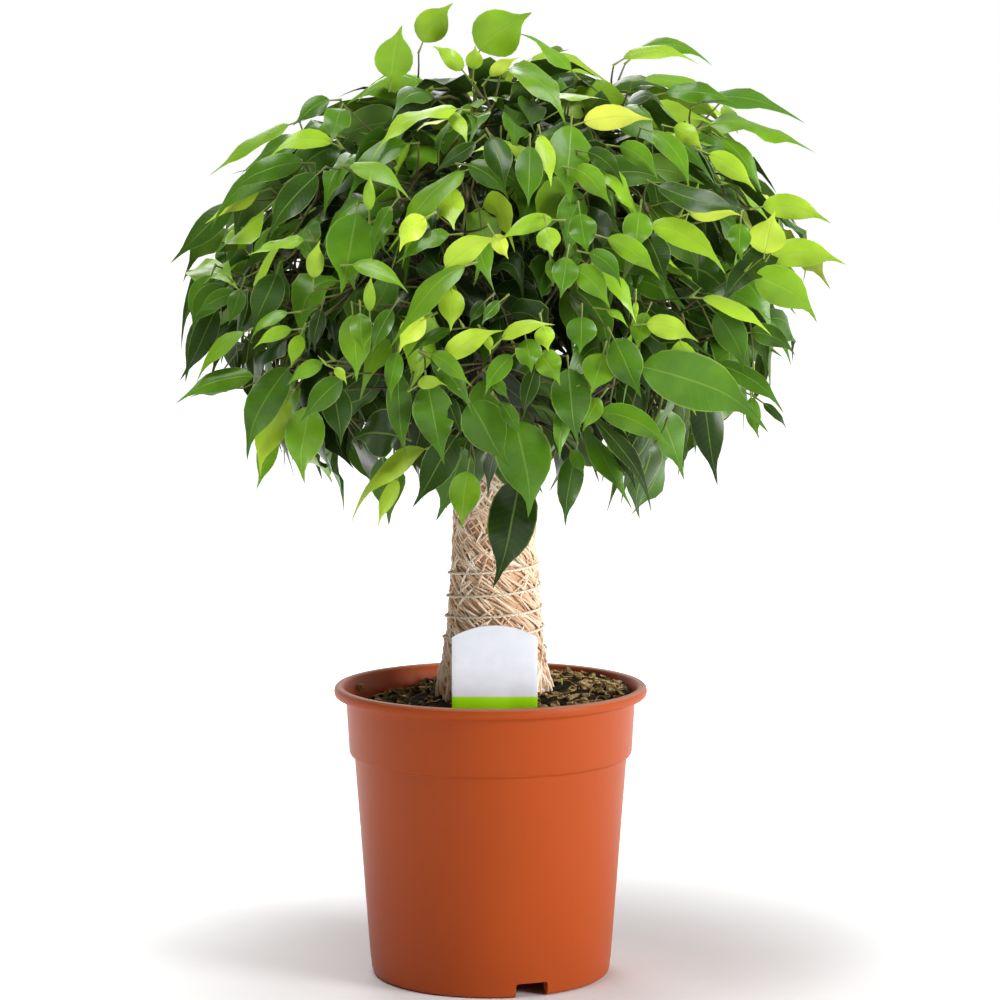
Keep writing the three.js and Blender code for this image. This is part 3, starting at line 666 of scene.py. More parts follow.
def grow_branch(tier, index):
    """A limb from the trunk, and the spray's middle twig and its two side twigs."""
    polar, count, first, limb_z, inset, droop = TIERS[tier]
    draw = draw_from(100 * (tier + 1) + index)
    azimuth = first + (360 / count) * (index + AZIMUTH_VARIETY * (draw() - 0.5))
    tilt = polar + TILT_VARIETY_DEG * (draw() - 0.5)
    direction = direction_at(tilt, azimuth)
    foot = direction_at(90, azimuth) * LIMB_INSET
    foot = foot + np.array([TRUNK_X, 0, limb_z + LIMB_FOOT_VARIETY * (draw() - 0.5)])
    fork = CROWN_CENTRE + direction * LIMB_SHARE * crown_reach(direction)
    high, tip = arch_over(tilt, azimuth, inset, droop)
    heading = unit(high - fork)
    limb = Arch(foot, fork - heading * 0.5 * np.linalg.norm(fork - foot), fork)
    middle = Arch(fork + heading * JOINT_GAP, high, tip)
    twigs = [middle]
    for side, share in zip((-1, 1), SIDE_FEET):
        start = on_rod(middle, TWIG_STEPS, share)[0]
        spread = side * SIDE_SPREAD * 360 / count
        twigs.append(Arch(start, *arch_over(tilt + side * SIDE_TILT_DEG, azimuth + spread, inset, droop)))
    return {"limb": limb, "twigs": twigs, "tilt": tilt, "azimuth": azimuth, "tier": tier}


branches = [grow_branch(tier, index) for tier in range(len(TIERS)) for index in range(TIERS[tier][1])]
thicket = Thicket()
for branch in branches:
    thicket.add(rod_rings(branch["limb"], 2, LIMB_RADIUS, LIMB_TIP_RADIUS))
places = []
for branch in branches:
    branch["leaves"] = []
    bodies = []
    for i, twig in enumerate(branch["twigs"]):
        radii = (SIDE_TWIG_RADIUS, SIDE_TWIG_TIP_RADIUS) if i else (TWIG_RADIUS, TWIG_TIP_RADIUS)
        bodies.append(thicket.add(twig_rings(twig, *radii)))
    spray_places = []
    for i, twig in enumerate(branch["twigs"]):
        for j, t in enumerate(SIDE_NODES if i else MAIN_NODES):
            point, tangent = on_rod(twig, TWIG_STEPS, t)
            side = 0 if t == 1 else 1 - 2 * (j % 2)
            spray_places.append({"point": point, "tangent": tangent, "side": side, "body": bodies[i]})
    places.append(spray_places)
for k, spray_places in enumerate(places):
    for j, place in enumerate(spray_places):
        leaf = grow_leaf(place, draw_from(LEAF_SEED + 100 * k + j), thicket)
        if leaf:
            thicket.add(leaf_rings(leaf, 0))
            leaf["young"] = place["side"] == 0
            branches[k]["leaves"].append(leaf)
print("leaves of the frame:", sum(len(branch["leaves"]) for branch in branches))

# %% [markdown]
# ## Leaves matched to the photograph
# Some leaves give this plant its outline: the young shoots that stand up on top, the long leaves that
# arch out to the right, and the dark ones that hang in front of the trunk. Each was read as it is
# seen in front of the pot's axis: its root, its tip, how wide it looks, how far it bows, and how young it
# is, from 0 for an old dark leaf to 1 for a new yellow-green one. A fit against the plant's outline then
# shifted about half of them by up to 5 mm and made some narrower or wider. Each is set back or forward
# here to the crown's own surface.

# %% Matched leaves
MATCHED_LEAVES = [
    # root x and z, tip x and z, seen width, bow, youth
    # on top, from the left
    (-53, 485, -49, 514, 20, 0, 0.62),
    (-36, 504.5, -22, 526.5, 18, 2, 0.68),
    (-5.5, 500, 21.5, 521, 27, 4, 0.64),
    (-15, 489.5, -30, 504.5, 9, 1, 0.7),
    (-9, 490, -8, 503, 9, 0, 0.72),
    (0, 486.5, 15, 497.5, 7, 2, 0.85),
    (43, 489.5, 15, 513.5, 7, 2, 0.5),
    (9.5, 490, 43.5, 467, 8, 11, 0.5),
    (-18, 469, -68, 450, 8, 11, 0.72),
    (-22, 467, -10, 452, 6, 2, 0.72),
    (-45, 450.5, -80, 421.5, 12, 12, 0.35),
    (-75, 439, -42, 427, 8, 5, 0.55),
    (-8, 451, -32, 438, 8, -2, 0.2),
    (50, 462, 87, 466, 13, 3, 1.0),
    # up on the right
    (76.5, 497, 118.5, 502, 10, 12, 0.45),
    (71, 495.5, 111, 497.5, 7, 9, 0.7),
    (82, 484.5, 126, 475.5, 7, 6, 0.55),
    (94, 477.5, 132, 475.5, 10, 4, 0.4),
    (113, 472.5, 169, 466.5, 9, 13, 0.4),
    (117, 460.5, 173, 447.5, 7, 15, 0.5),
    (125, 470.5, 132, 456.5, 6, 1, 0.7),
    (98, 459, 115, 448, 10, 3, 0.75),
    (124, 453, 148, 426, 10, 4, 0.45),
    (117, 445, 144, 427, 11, 3, 0.75),
    # out on the right
    (146, 417, 183, 412, 13, 5, 0.72),
    (147, 392, 151, 415, 19, 0, 0.85),
    (150.5, 390, 191.5, 391, 15, 5, 0.72),
    (141.5, 379.5, 179.5, 361.5, 20, 4, 0.6),
    (114, 368, 153, 352, 7, 5, 0.72),
    (121, 360, 140, 330, 16, 3, 0.35),
    (140, 349.5, 166, 340.5, 11, 5, 0.3),
    (84, 354, 113, 347, 12, 3, 0.78),
    (102, 345, 108, 304, 16, 1, 0.7),
    (81.5, 331, 154.5, 309, 28, 3, 0.42),
    (114, 321.5, 122, 266.5, 17, 0, 0.12),
    (121, 332, 162, 311, 10, 6, 0.3),
    (140.5, 314.5, 143.5, 291.5, 8, 0, 0.4),
    (147, 311.5, 161, 298.5, 4, 1, 0.15),
    # below, from the right to the middle
    (59, 306, 101, 289, 13, 9, 0.45),
    (65, 300, 80, 265, 8, 3, 0.1),
    (49, 299, 76, 253, 8, 4, 0.4),
    (55, 303.5, 94, 256.5, 5, 3, 0.08),
    (45.5, 283.5, 38.5, 244.5, 13, -2, 0.25),
    (16, 271, 4, 210, 25, 3, 0.1),
    (13.5, 301.5, 25.5, 250.5, 28, 3, 0.4),
    (-11, 312, 8, 276, 22, 2, 0.35),
    (-12.5, 274.5, -16.5, 243.5, 16, 0, 0.55),
    # below on the left
    (-128, 326, -171, 317, 12, 5, 0.45),
    (-109, 330, -136, 282, 18, 6, 0.3),
    (-109.5, 313, -129.5, 274, 16, 2, 0.78),
    (-117.5, 298, -125.5, 264, 11, 0, 0.5),
    (-97.5, 309.5, -105.5, 268.5, 20, -2, 0.5),
    (-85, 321, -79, 288, 15, 0, 0.2),
    (-49.5, 293.5, -74.5, 296.5, 25, 2, 0.12),
    (-36, 286.5, -81, 251.5, 9, 9, 0.8),
    (-50.5, 270, -64.5, 246, 8, -2, 0.78),
    (-90.5, 333, -110.5, 323, 8, 2, 0.5),
    # out on the left
    (-150, 380, -163, 351, 15, -5, 0.42),
    (-150, 362, -168, 324, 12, 4, 0.2),
    (-108, 460.5, -151, 433.5, 8, 5, 0.6),
    (-86, 473.5, -105, 459.5, 10, 6, 0.35),
    (-80, 469, -85, 452, 14, 2, 0.4),
    (-85, 451, -120, 448, 10, 8, 0.68),
    (-93, 434, -123, 402, 15, 2, 0.2),
    (-124, 425, -153, 408, 8, 3, 0.85),
    (-100.5, 440.5, -143.5, 427.5, 13, 6, 0.35),
    (-137.5, 418, -171.5, 386, 13, 4, 0.25),
    (-72, 413, -80, 370, 25, -3, 0.42),
    (-115, 381, -131, 350, 16, -2, 0.22),
    (-142.5, 373, -163.5, 353, 14, 5, 0.3),
    (-100, 399, -131, 391, 6, 4, 0.65),
    (-95, 379, -93, 400, 9, 0, 0.72),
    (-160, 383, -136, 378, 8, 5, 0.6),
    (-107.5, 440, -155.5, 411, 12, 6, 0.4),
    # left of the middle
    (-65, 415, -65, 436, 6, 0, 0.66),
    (-14, 436, -54, 392, 11, 12, 0.5),
    (-21, 427, -21, 404, 13, 0, 0.75),
    (-35, 411, -51, 394, 12, 3, 0.85),
    (-24, 384.5, 5, 404.5, 13, 4, 0.8),
    (-22, 402, -52, 388, 8, 5, 0.4),
    (-74, 386, -42, 374, 8, 6, 0.55),
    (-65, 361, -65, 382, 6, 0, 0.66),
    (-12, 439, 12, 423, 12, 5, 0.3),
    (0, 454, 10, 427, 14, 2, 0.22),
    (-53, 417, -66, 389, 8, 3, 0.35),
    (-14, 385, -54, 341, 11, 12, 0.5),
    (-21, 373, -21, 350, 13, 0, 0.75),
    (-35, 357, -51, 340, 12, 3, 0.85),
    (-24, 335, 5, 355, 12, 4, 0.8),
    # right of the middle
    (43, 460, 40, 421, 22, 0, 0.45),
    (27, 455, 34, 428, 8, 0, 0.75),
    (45, 437, 65, 417, 12, 7, 0.5),
    (60, 437, 79, 409, 7, 6, 0.62),
    (52, 446, 73, 430, 10, 5, 0.25),
    (69, 449, 92, 433, 11, 6, 0.45),
    (21, 449, 20, 417, 14, -3, 0.35),
    (33, 410, 3, 401, 9, 4, 0.66),
    (2, 402, 10, 389, 8, 0, 0.9),
    (30, 406, 33, 390, 12, 0, 0.66),
    (48, 413, 52, 391, 14, 0, 0.42),
    (80, 414, 77, 392, 15, 0, 0.48),
    (63, 400, 93, 379, 11, 5, 0.6),
    (53, 392, 73, 376, 10, 5, 0.4),
    (45, 383, 65, 363, 13, 7, 0.5),
    (60, 383, 79, 355, 7, 6, 0.62),
    (41, 390, 38, 368, 13, 0, 0.4),
    (32, 389, 34, 374, 6, 0, 0.5),
    (107, 413, 135, 416, 10, 1, 0.88),
    (86, 407, 129, 386, 13, 8, 0.68),
    (134, 408, 133, 388, 12, 0, 0.42),
    (106, 414, 112, 431, 7, 0, 0.7),
    (153, 394, 121, 366, 14, 4, 0.14),
    (84, 401, 95, 376, 15, 2, 0.15),
    (86, 457, 110, 427, 9, 9, 0.45),
    (90, 428, 140, 414, 12, -4, 0.22),
    # low on the left
    (-133, 349.5, -161, 324.5, 8, 5, 0.55),
    (-107, 351, -129, 344, 7, 2, 0.65),
    (-109, 360, -132, 348, 6, 4, 0.5),
    (-147.5, 362, -165.5, 323, 12, 8, 0.15),
    (-140, 319.5, -163, 316.5, 4, 1, 0.25),
    (-134, 373, -141, 353, 9, 1, 0.3),
    (-137, 371, -160, 361, 9, 2, 0.35),
    (-102, 348, -109, 331, 8, 0, 0.62),
    (-74, 359, -71, 323, 16, -3, 0.5),
    (-91, 362, -97, 339, 8, 0, 0.1),
    (-84, 330, -76, 323, 5, 1, 0.8),
    (-80, 324, -103, 302, 13, 3, 0.3),
    # low in the middle
    (-70, 360, -69, 338, 11, 0, 0.45),
    (-53, 362, -66, 338, 9, 1, 0.3),
    (-21, 351, -47, 338, 6, 3, 0.35),
    (-3, 366, -13, 354, 6, 1, 0.2),
    (5, 366, -6, 354, 6, 1, 0.3),
    (-50, 339, -56, 313, 9, 1, 0.4),
    (-32, 338, -10, 320, 9, 5, 0.5),
    (-32, 335, -7, 308, 10, 4, 0.35),
    (-39, 321, -24, 324, 7, 2, 0.75),
    (-50, 328, -48, 282, 12, 0, 0.3),
    (-34, 322, -25, 278, 20, 1, 0.35),
    (-24, 316, -15, 293, 8, 1, 0.12),
    (-18.5, 293.5, -41.5, 254.5, 17, 2, 0.15),
    (1, 325, 10, 313, 6, 1, 0.4),
    (11.5, 337, -5.5, 317, 10, 2, 0.45),
    (-3, 348, 1, 338, 5, 1, 0.8),
    (6, 346, 34, 356, 7, 5, 0.8),
    (28, 353, 31, 339, 10, 0, 0.72),
    (26, 339, 39, 322, 13, 1, 0.55),
    (19, 346, 23, 328, 13, 0, 0.45),
    (49, 358, 49, 338, 15, 0, 0.38),
    (60.5, 338, 54.5, 316, 17, 1, 0.5),
    (66.5, 346, 81.5, 314, 17, 1, 0.35),
    (42, 330, 46, 289, 20, 0, 0.3),
    (41, 312, 35, 280, 8, -1, 0.45),
    (59, 314, 49, 296, 10, 1, 0.5),
    (24, 330, 16, 304, 9, 1, 0.15),
    (5, 312, 17, 293, 8, 2, 0.35),
    (43.5, 286, 51.5, 272, 7, 1, 0.45),
    (84, 360, 77, 340, 11, 1, 0.5),
    (62, 362, 75, 353, 3, 3, 0.6),
    (78, 366, 78, 356, 3, 0, 0.7),
]
MATCHED_PETIOLE = 6
MATCHED_SLENDERNESS = 0.3
MATCHED_TWIST = 0.15
TIP_FORWARD = 4
BOW_LIFT = 2.4
NEARLY_UPRIGHT = 0.9
LENGTH_ROUNDS = 12
YOUNG_FROM = 0.6
SURFACE_SHARE = 0.99
SHOOT_SAG = 0.3
DEPTH_SHIFTS = [0, -4, 4, -8, 8, -13, 13, 19, 26, 34]


def seen_at(x, z, depth):
    """The point at a depth that is seen in front of (x, z) on the pot's axis."""
    share = (CAMERA_DISTANCE + depth) / CAMERA_DISTANCE
    return np.array([CAMERA_X + (x - CAMERA_X) * share, depth, CAMERA_Z + (z - CAMERA_Z) * share])


def surface_depth(x, z):
    """How far in front of the pot's axis the crown's surface lies."""
    height = CROWN_RISE if z > CROWN_CENTRE[2] else CROWN_DROP
    lean = CROWN_LEAN * max(0, z - CROWN_CENTRE[2])
    wide = (abs(x - CROWN_CENTRE[0] - lean) / CROWN_RADIUS) ** CROWN_FULLNESS
    high = (abs(z - CROWN_CENTRE[2]) / height) ** CROWN_FULLNESS
    return -SURFACE_SHARE * CROWN_RADIUS * max(0, 1 - wide - high) ** (1 / CROWN_FULLNESS)


def matched_leaf(row, shift):
    """A leaf that looks as its row says, with its depth shifted."""
    x0, z0, x1, z1, seen_width, bow, youth = row
    base = seen_at(x0, z0, surface_depth(x0, z0) + shift)
    tip = seen_at(x1, z1, min(surface_depth(x1, z1), base[1] - TIP_FORWARD) + min(shift, 0))
    span = np.linalg.norm(tip - base)
    level = unit(tip - base)
    toward_camera = np.array([0, -1.0, 0])
    upright = abs(level[2]) >= NEARLY_UPRIGHT
    upward = toward_camera if upright else unit(np.array([0, 0, 1.0]) - level * level[2])
    facing = unit(toward_camera + level * level[1])
    start = unit(level + upward * BOW_LIFT * bow / span)
    length = span
    for _ in range(LENGTH_ROUNDS):
        bend = base + start * length * BLADE_BEND
        length *= 0.5 + 0.5 * np.linalg.norm(tip - bend) / (length * (1 - BLADE_BEND))
    bend = base + start * length * BLADE_BEND
    width = max(seen_width, min(MATCHED_SLENDERNESS * length, LEAF_WIDTH))
    turn = math.acos(min(1, seen_width / width))
    over = unit(facing * math.cos(turn) + upward * math.sin(turn))
    return {
        "root": base - start * MATCHED_PETIOLE, "start": start, "end": unit(tip - bend),
        "right": unit(np.cross(over, start + level)),
        "petiole": MATCHED_PETIOLE, "length": length, "width": width,
        "twist": MATCHED_TWIST * np.sign(bow),
        "youth": youth, "young": youth > YOUNG_FROM,
    }


def nearest_twig(point):
    """The spray, and the point on one of its twigs, nearest to a point."""
    best = None
    for k, branch in enumerate(branches):
        for twig in branch["twigs"]:
            for t in np.linspace(0.1, 1, 10):
                away = np.linalg.norm(twig.point(t) - point)
                if best is None or away < best[0]:
                    best = (away, k, twig.point(t))
    return best


for branch in branches:
    branch["shoots"] = []
lost = 0
for row in MATCHED_LEAVES:
    leaf = None
    for shift in DEPTH_SHIFTS:
        trial = matched_leaf(row, shift)
        if not thicket.blocks(body_of(leaf_rings(trial, CLEARANCE))):
            leaf = trial
            break
    if leaf is None:
        lost += 1
        leaf = matched_leaf(row, 0)
    thicket.add(leaf_rings(leaf, 0))
    away, k, foot = nearest_twig(leaf["root"])
    branches[k]["leaves"].append(leaf)
    inward = unit(CROWN_CENTRE - leaf["root"])
    middle = (foot + leaf["root"]) / 2 + inward * SHOOT_SAG * away
    branches[k]["shoots"].append(Arch(foot, middle, leaf["root"]))
print("matched leaves:", len(MATCHED_LEAVES), "of which touching others:", lost)

# %% [markdown]
# ## Finer shoots
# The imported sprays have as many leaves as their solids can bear. The real head has two or three times
# as many, on short shoots between the main twigs. Each spray gets a few more shoots, in the gaps round
# its own twigs, and their leaves are drawn by the same rule, clear of all that is there.

# %% Extra shoots
# for each shoot: its spread as a share of its tier's spacing, its tilt in degrees, and its foot on the twig
OUTER_SHOOTS = [
    (-0.5, -9, 0.3), (0.5, 9, 0.42), (-0.2, 11, 0.55),
    (0.2, -11, 0.68), (0.02, 15, 0.8), (-0.35, 2, 0.5),
]
INNER_SHOOTS = [
    (-0.4, -5, 0.12), (0.4, 5, 0.16), (0.1, 13, 0.2),
    (-0.1, -13, 0.24), (0.45, -3, 0.3), (-0.45, 8, 0.34),
]
CORE_SHOOTS = [
    (-0.45, 4, 0.02), (0.45, -4, 0.06), (0, 16, 0.1),
    (0.2, -10, 0.16), (-0.2, 10, 0.22),
]
OUTER_INSET, INNER_INSET, CORE_INSET = 24, 46, 78
OUTER_SEED, INNER_SEED, CORE_SEED = 20000, 30000, 40000
TOP_SPREAD = 0.55
SHOOT_SWING = 1.6
SHOOT_BEND_SHARE = 0.7
SHOOT_NODES = [0.38, 0.6, 0.8, 1]
SHOOT_RADIUS = 1.1
SHOOT_TIP_RADIUS = 0.6


def grow_shoot(branch, spread, tilt, foot_share, inset):
    """A short shoot from the spray's middle twig out to within an inset of the crown's surface."""
    count = TIERS[branch["tier"]][1]
    around = spread * 360 / count * (TOP_SPREAD if count > 1 else 1)
    start = on_rod(branch["twigs"][0], TWIG_STEPS, foot_share)[0]
    polar = abs(branch["tilt"] + tilt)
    high, tip = arch_over(polar, branch["azimuth"] + around * SHOOT_SWING, inset, 0)
    return Arch(start, start + (high - start) * SHOOT_BEND_SHARE, tip)


def leaf_shoots(shoots, inset, seed):
    """Gives every spray its share of shoots, and each shoot the leaves that find room."""
    for k, branch in enumerate(branches):
        for s, (spread, tilt, foot_share) in enumerate(shoots):
            shoot = grow_shoot(branch, spread, tilt, foot_share, inset)
            body = thicket.add(twig_rings(shoot, SHOOT_RADIUS, SHOOT_TIP_RADIUS))
            branch["shoots"].append(shoot)
            for j, t in enumerate(SHOOT_NODES):
                point, tangent = on_rod(shoot, TWIG_STEPS, t)
                side = 0 if t == 1 else 1 - 2 * (j % 2)
                place = {"point": point, "tangent": tangent, "side": side, "body": body, "fine": True}
                leaf = grow_leaf(place, draw_from(seed + 100 * k + 10 * s + j), thicket)
                if leaf:
                    thicket.add(leaf_rings(leaf, 0))
                    leaf["young"] = t == 1
                    branch["leaves"].append(leaf)
    print("leaves in all:", sum(len(branch["leaves"]) for branch in branches))


leaf_shoots(OUTER_SHOOTS, OUTER_INSET, OUTER_SEED)
leaf_shoots(INNER_SHOOTS, INNER_INSET, INNER_SEED)
leaf_shoots(CORE_SHOOTS, CORE_INSET, CORE_SEED)

# %% [markdown]
# ## Small shapes in one mesh
# A leafy spray is hundreds of small closed shapes: leaves, stalks and twigs. Modelling each as an
# object of its own would be slow to draw, so each shape is worked out as points and faces and they are
# gathered in one mesh. What differs from shape to shape, such as how young a leaf is, goes along as an
# attribute for the material.

# %% Gathering helpers
SMALL_SHAPE_DEG = 50


def start_fresh():
    """Leaves edit mode and deselects everything, because an operator acts on all that is selected."""
    if bpy.context.mode != "OBJECT":
        bpy.ops.object.mode_set(mode="OBJECT")
    bpy.ops.object.select_all(action="DESELECT")


def smooth(piece, degrees):
    """Shades a piece smooth where its faces meet at less than an angle."""
    start_fresh()
    piece.select_set(True)
    bpy.context.view_layer.objects.active = piece
    bpy.ops.object.shade_smooth_by_angle(angle=math.radians(degrees))


def tube(centres, radii, sides, tone=0.0):
    """A closed tube of rings round a line of points, with a radius for each point."""
    centres = np.array(centres, float)
    headings = np.gradient(centres, axis=0)
    side = axis_beside(unit(headings[0]))
    rings = []
    for centre, heading, radius in zip(centres, headings, radii):
        heading = unit(heading)
        side = unit(side - heading * np.dot(side, heading))
        over = np.cross(heading, side)
        angles = np.arange(sides) * 2 * math.pi / sides
        radius = np.broadcast_to(radius, sides)
        around = np.outer(np.cos(angles), side) + np.outer(np.sin(angles), over)
        rings.append(centre + radius[:, None] * around)
    faces = [tuple(range(sides))[::-1]]
    for k in range(len(rings) - 1):
        for i in range(sides):
            j = (i + 1) % sides
            faces.append((k * sides + i, k * sides + j, (k + 1) * sides + j, (k + 1) * sides + i))
    faces.append(tuple(range((len(rings) - 1) * sides, len(rings) * sides)))
    return {"points": np.concatenate(rings), "faces": faces, "tone": tone}


def gather(name, shapes, materials):
    """One piece from many closed shapes."""
    points, faces, uvs, tones, unders, slots = [], [], [], [], [], []
    first = 0
    for shape in shapes:
        count, size = len(shape["points"]), len(shape["faces"])
        points.append(shape["points"])
        faces += [tuple(first + corner for corner in face) for face in shape["faces"]]
        uvs.append(shape.get("uv", np.full((count, 2), (0.5, 0.0))))
        tones.append(np.broadcast_to(shape["tone"], count))
        unders.append(np.broadcast_to(shape.get("under", 0.0), size))
        slots += [shape.get("slot", 0)] * size
        first += count
    mesh = bpy.data.meshes.new(name)
    mesh.from_pydata(np.concatenate(points) * MM, [], faces)
    corners = np.zeros(len(mesh.loops), int)
    mesh.loops.foreach_get("vertex_index", corners)
    layer = mesh.uv_layers.new(name="blade")
    layer.data.foreach_set("uv", np.concatenate(uvs)[corners].ravel())
    mesh.attributes.new("tone", "FLOAT", "POINT").data.foreach_set("value", np.concatenate(tones))
    mesh.attributes.new("under", "FLOAT", "FACE").data.foreach_set("value", np.concatenate(unders))
    for material in materials:
        mesh.materials.append(material)
    mesh.polygons.foreach_set("material_index", slots)
    piece = bpy.data.objects.new(name, mesh)
    bpy.context.collection.objects.link(piece)
    smooth(piece, SMALL_SHAPE_DEG)
    return piece


print("shapes that meet at less than", SMALL_SHAPE_DEG, "degrees are shaded smooth")

# %% [markdown]
# ## One leaf, modelled flat
# A weeping fig's leaf is egg-shaped, 5 to 6 cm long, and runs out in a long drip tip. It is modelled
# once as a flat pattern: a grid whose middle is raised, mirrored below so that it is closed at its
# margin, and pulled in row by row to the outline. Every leaf of the plant is this pattern, laid along
# its own bend.

# %% Leaf pattern
PATTERN_COLUMNS = 4
ROW_PLACES = [0, 0.04, 0.11, 0.21, 0.33, 0.45, 0.56, 0.66, 0.75, 0.84, 0.92, 1]
ROW_WIDTHS = [0.1, 0.4, 0.7, 0.92, 1, 0.96, 0.82, 0.58, 0.3, 0.14, 0.08, 0]
PATTERN_ROWS = len(ROW_PLACES) - 1
NEAR = 0.0001

start_fresh()
bpy.ops.mesh.primitive_grid_add(x_subdivisions=PATTERN_COLUMNS, y_subdivisions=PATTERN_ROWS, size=2)
pattern = bpy.context.object
bpy.ops.object.mode_set(mode="EDIT")
work = bmesh.from_edit_mesh(pattern.data)
for vertex in work.verts:
    vertex.select_set(not vertex.is_boundary)
work.select_flush_mode()
bpy.ops.transform.translate(value=(0, 0, 1))
bpy.ops.mesh.select_all(action="SELECT")
bpy.ops.mesh.duplicate()
bpy.ops.transform.resize(value=(1, 1, -1), center_override=(0, 0, 0))
bpy.ops.mesh.flip_normals()
bpy.ops.mesh.select_all(action="SELECT")
bpy.ops.mesh.remove_doubles(threshold=NEAR)
for row, width in enumerate(ROW_WIDTHS):
    y = 2 * row / PATTERN_ROWS - 1
    work = bmesh.from_edit_mesh(pattern.data)
    for vertex in work.verts:
        vertex.select_set(abs(vertex.co.y - y) < NEAR)
    work.select_flush_mode()
    bpy.ops.transform.resize(value=(width, 1, 1), center_override=(0, y, 0))
bpy.ops.mesh.select_all(action="SELECT")
bpy.ops.mesh.remove_doubles(threshold=NEAR)
bpy.ops.object.mode_set(mode="OBJECT")
pattern_points = np.array([vertex.co for vertex in pattern.data.vertices])
pattern_faces = [tuple(face.vertices) for face in pattern.data.polygons]
pattern_under = np.array([face.center.z < 0 for face in pattern.data.polygons], float)
bpy.data.objects.remove(pattern)
print("leaf pattern:", len(pattern_points), "points and", len(pattern_faces), "faces")

# %% Laying a leaf along its bend
BLADE_THICKNESS = 0.5
WAVE, WAVE_RARITY = (0.8, 3.2), 1.5
WAVE_COUNT = (1.2, 1.0)
WAVE_HALF_WIDTH = 10
WAVE_FADE = 2.2
SIDE_PHASE = 0.9
FOLD = (-0.1, 0.45)
ARCH = (-0.55, 0.5)
DROOP = (0.08, 0.26)
HOOK = (0.03, 0.16)
SWAY = 0.34
CURL = (-0.08, 0.2)
THIN_FROM = 3
DRIP_FROM = 0.52
MATCHED_LOOSENESS = 0.55
MATCHED_DROOP = 0.25
STALK_IN_TWIG, STALK_IN_BLADE = 0.8, 3
STALK_RADII = [0.7, 0.45, 0.3]
STALK_YOUTH = (0.55, 0.4)

pattern_row = np.rint((pattern_points[:, 1] + 1) / 2 * PATTERN_ROWS).astype(int)
pattern_v = np.array(ROW_PLACES)[pattern_row]
pattern_width = np.array(ROW_WIDTHS)[pattern_row]
pattern_column = np.where(pattern_width > 0, pattern_points[:, 0] / np.maximum(pattern_width, 0.01), 0)
pattern_uv = np.stack([0.5 + 0.5 * pattern_column, pattern_v], axis=1)


def lay_leaf(leaf, youth, draw):
    """The pattern bent along a leaf's midrib, arched and waved across, with a drip tip that hangs."""
    blade, bend = blade_arch(leaf), leaf.get("bend", BLADE_BEND)
    half = 0.5 * leaf["width"]
    wave = drawn(draw, WAVE, WAVE_RARITY)
    phase = 2 * math.pi * draw()
    waves = drawn(draw, WAVE_COUNT)
    loose = MATCHED_LOOSENESS if "youth" in leaf else 1
    fold = drawn(draw, FOLD) * loose
    arch = drawn(draw, ARCH) * loose
    droop = drawn(draw, DROOP) * (MATCHED_DROOP if "youth" in leaf else 1)
    hook = drawn(draw, HOOK) * loose
    sway = SWAY * (draw() - 0.5) * loose
    curl = drawn(draw, CURL) * loose
    chord = unit(blade.point(1) - blade.point(0))
    hang = chord * chord[2] - np.array([0, 0, 1.0])
    centres, rights, overs = [], [], []
    for v in ROW_PLACES:
        t = (math.sqrt(bend**2 + (1 - 2 * bend) * v) - bend) / (1 - 2 * bend)
        tangent = blade.tangent(t)
        right = unit(leaf["right"] - tangent * np.dot(leaf["right"], tangent))
        right = turned_about(right, tangent, leaf["twist"] * t)
        over = np.cross(tangent, right)
        drip = (max(0, v - DRIP_FROM) / (1 - DRIP_FROM)) ** 2
        bend_down = hang * (droop * v**2 + hook * drip)
        centres.append(blade.point(t) + leaf["length"] * (bend_down + drip * (sway * right + curl * over)))
        rights.append(right)
        overs.append(over)
    centres, rights, overs = np.array(centres), np.array(rights), np.array(overs)
    across = pattern_points[:, 0] * half
    ripple = np.sin(2 * math.pi * waves * pattern_v + phase + SIDE_PHASE * np.sign(across))
    fade = np.minimum(1, WAVE_FADE * pattern_width**2)
    lift = wave * pattern_column**2 * fade * ripple * half / WAVE_HALF_WIDTH
    lift += fold * np.abs(across) + arch * pattern_width * np.abs(pattern_column * across)
    lift += 0.5 * BLADE_THICKNESS * pattern_points[:, 2] * np.minimum(1, THIN_FROM * pattern_width)
    sideways, raised = rights[pattern_row] * across[:, None], overs[pattern_row] * lift[:, None]
    return {
        "points": centres[pattern_row] + sideways + raised, "faces": pattern_faces,
        "uv": pattern_uv, "tone": youth, "under": pattern_under,
    }


def lay_stalk(leaf, youth):
    """The leaf's stalk, from within its twig to just within its blade."""
    root, start = leaf["root"], leaf["start"]
    reaches = [-STALK_IN_TWIG, leaf["petiole"] * 0.5, leaf["petiole"] + STALK_IN_BLADE]
    least, more = STALK_YOUTH
    stalk = tube([root + start * reach for reach in reaches], STALK_RADII, 4, least + more * youth)
    stalk["slot"] = 1
    return stalk


print("leaf blades are", BLADE_THICKNESS, "mm thick at the midrib")

# %% [markdown]
# ## Leaf and twig finish
# A living fig leaf is a thin green body under a clear wax skin, so it is glossy above and duller and
# paler below. The skin gives the long white shine, the midrib and the margin are pale lines, and new
# leaves are yellow-green because they hold little green yet. Side veins stand about 3 mm apart.

# %% Leaf material
VEIN_PAIRS = 15.0
VEIN_SLANT = -1.6
VEIN_EDGE, MIDRIB_EDGE, MIDRIB_FULL, MARGIN_EDGE = 0.09, 0.06, 0.015, 0.93
LEAF_STOPS = [
    (0.0, "#111c06"), (0.2, "#2b480e"), (0.42, "#4e7c15"),
    (0.62, "#7da920"), (0.8, "#aacb34"), (1.0, "#d8e052"),
]

